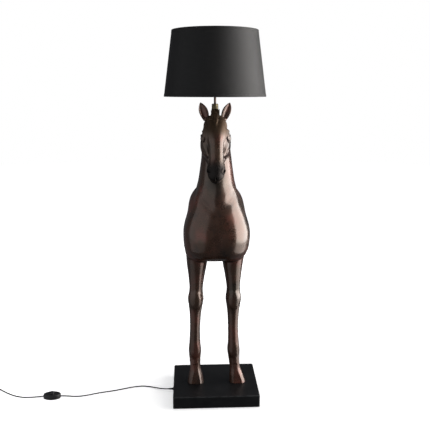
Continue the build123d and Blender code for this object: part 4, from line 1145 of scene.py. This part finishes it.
def dress_hardware(black_rubber, black_moulding):
    """Finishes of the CAD nodes that are shown as they are."""
    dress(plinth_material(), "plinth")
    dress(glass_material(), "bulb_glass")
    dress(black_rubber, "internal_lead")
    dress(black_moulding, "cable_clamp", "plug_body", "switch_base", "switch_cover")
    board = plain_material("cover_hardboard", (0.020, 0.020, 0.021), 0.8, grain=350.0, grain_depth=0.0003)
    dress(board, "plinth_cover")
    dress(plain_material("foot_rubber_black", grey(0.014), 0.75), "rubber_feet")
    dress(plain_material("button_gloss_black", (0.010, 0.010, 0.011), 0.25, coat=0.3), "switch_button")
    tie = plain_material("tie_rubber", (0.02, 0.02, 0.021), 0.6, grain=2500.0, grain_depth=0.0002)
    dress(tie, "coil_tie")
    white_wire = plain_material("shade_wire_white", (0.62, 0.61, 0.58), 0.4, variation=0.06)
    dress(white_wire, "shade_top_ring", "shade_frame")
    holder = plain_material("holder_bakelite", grey(0.012), 0.3, coat=0.2)
    dress(holder, "holder_cap", "holder_body", "shade_ring")
    dress(plain_material("holder_ceramic", (0.72, 0.71, 0.68), 0.3, variation=0.05), "holder_insert")
    # name: colour, tarnish, roughness, nodes
    metals = {
        "cast_iron": ((0.10, 0.095, 0.09), (0.045, 0.042, 0.04), 0.6, "ballast_front", "ballast_rear"),
        "zinc_plated": ((0.58, 0.58, 0.55), (0.40, 0.40, 0.38), 0.3, "ballast_screws", "cover_screws",
                        "clamp_screws", "leg_tube_left", "leg_rod_right", "leg_washers", "leg_nuts",
                        "stem_washer", "stem_nut", "switch_screws"),
        "stem_lacquer": ((0.075, 0.050, 0.040), (0.040, 0.028, 0.024), 0.35, "stem_tube"),
        "collar_brass": ((0.125, 0.105, 0.062), (0.060, 0.052, 0.036), 0.42, "stem_collar"),
        "contact_brass": ((0.72, 0.55, 0.27), (0.50, 0.36, 0.17), 0.28, "contact_tongue", "thread_sleeve",
                          "switch_contacts"),
        "pin_nickel_plate": ((0.62, 0.60, 0.56), (0.50, 0.48, 0.44), 0.22, "plug_pins"),
        "bulb_cap_alloy": (grey(0.70), grey(0.55), 0.3, "bulb_base"),
        "spring_wire": ((0.5, 0.5, 0.49), (0.35, 0.35, 0.34), 0.3, "switch_spring"),
    }
    for name, (colour, tarnish, roughness, *nodes) in metals.items():
        dress(aged_metal(name, colour, tarnish, roughness), *nodes)


GLAND_FACE, GLAND_TIP = -0.183, -0.207
GLAND_RIBS, GLAND_STEPS = 8, 40


def make_gland(material):
    """Cord gland: a flange on the plinth and a ribbed strain relief that narrows round the cord."""
    face, bore = GLAND_FACE, CORD_RADIUS + 0.00005
    # along X and radius: the shank inside the plinth, then the flange
    outline = [(face + 0.012, bore), (face + 0.012, 0.0040), (face, 0.0040), (face, 0.0063),
               (face - 0.0004, 0.0065), (face - 0.0025, 0.0065), (face - 0.0030, 0.0061)]
    start = face - 0.0032
    pitch = (start - GLAND_TIP) / GLAND_RIBS
    for i in range(GLAND_RIBS):
        x = start - i * pitch
        r = 0.0050 - 0.0016 * i / (GLAND_RIBS - 1)
        outline += [(x, r - 0.0004), (x - pitch * 0.12, r), (x - pitch * 0.55, r),
                    (x - pitch * 0.67, r - 0.0005), (x - pitch * 0.97, r - 0.0005)]
    outline += [(GLAND_TIP, 0.0029), (GLAND_TIP, bore)]
    vertices = [(x, r * math.cos(a), CORD_EXIT[2] + r * math.sin(a))
                for x, r in outline for a in turn_angles(GLAND_STEPS)]
    faces = grid_faces(len(outline), GLAND_STEPS, close_rows=True, close_columns=True)
    mesh = mesh_from("strain_relief", vertices, faces)
    tidy_mesh(mesh)
    stand_for(new_object("strain_relief", mesh, material), "black_moulding", "cord_gland")


def main():
    make_camera()
    make_stage()
    make_lights()
    black_rubber = plain_material("cord_black", (0.016, 0.016, 0.017), 0.42, grain=1600.0)
    black_moulding = plain_material("moulding_black", (0.012, 0.012, 0.013), 0.40, grain=1100.0)
    cord = make_cord(black_rubber)
    make_gland(black_moulding)
    dress_hardware(black_rubber, black_moulding)
    make_shade()
    bronze = bronze_material()
    make_figure(bronze)
    make_ear("ear_left_skin", (-34, 6, 1193), (-59, 4, 1263), (-0.35, -1.0, 0.1), bronze)
    make_ear("ear_right_skin", (34, 6, 1193), (61, 4, 1262), (0.35, -1.0, 0.1), bronze)


main()
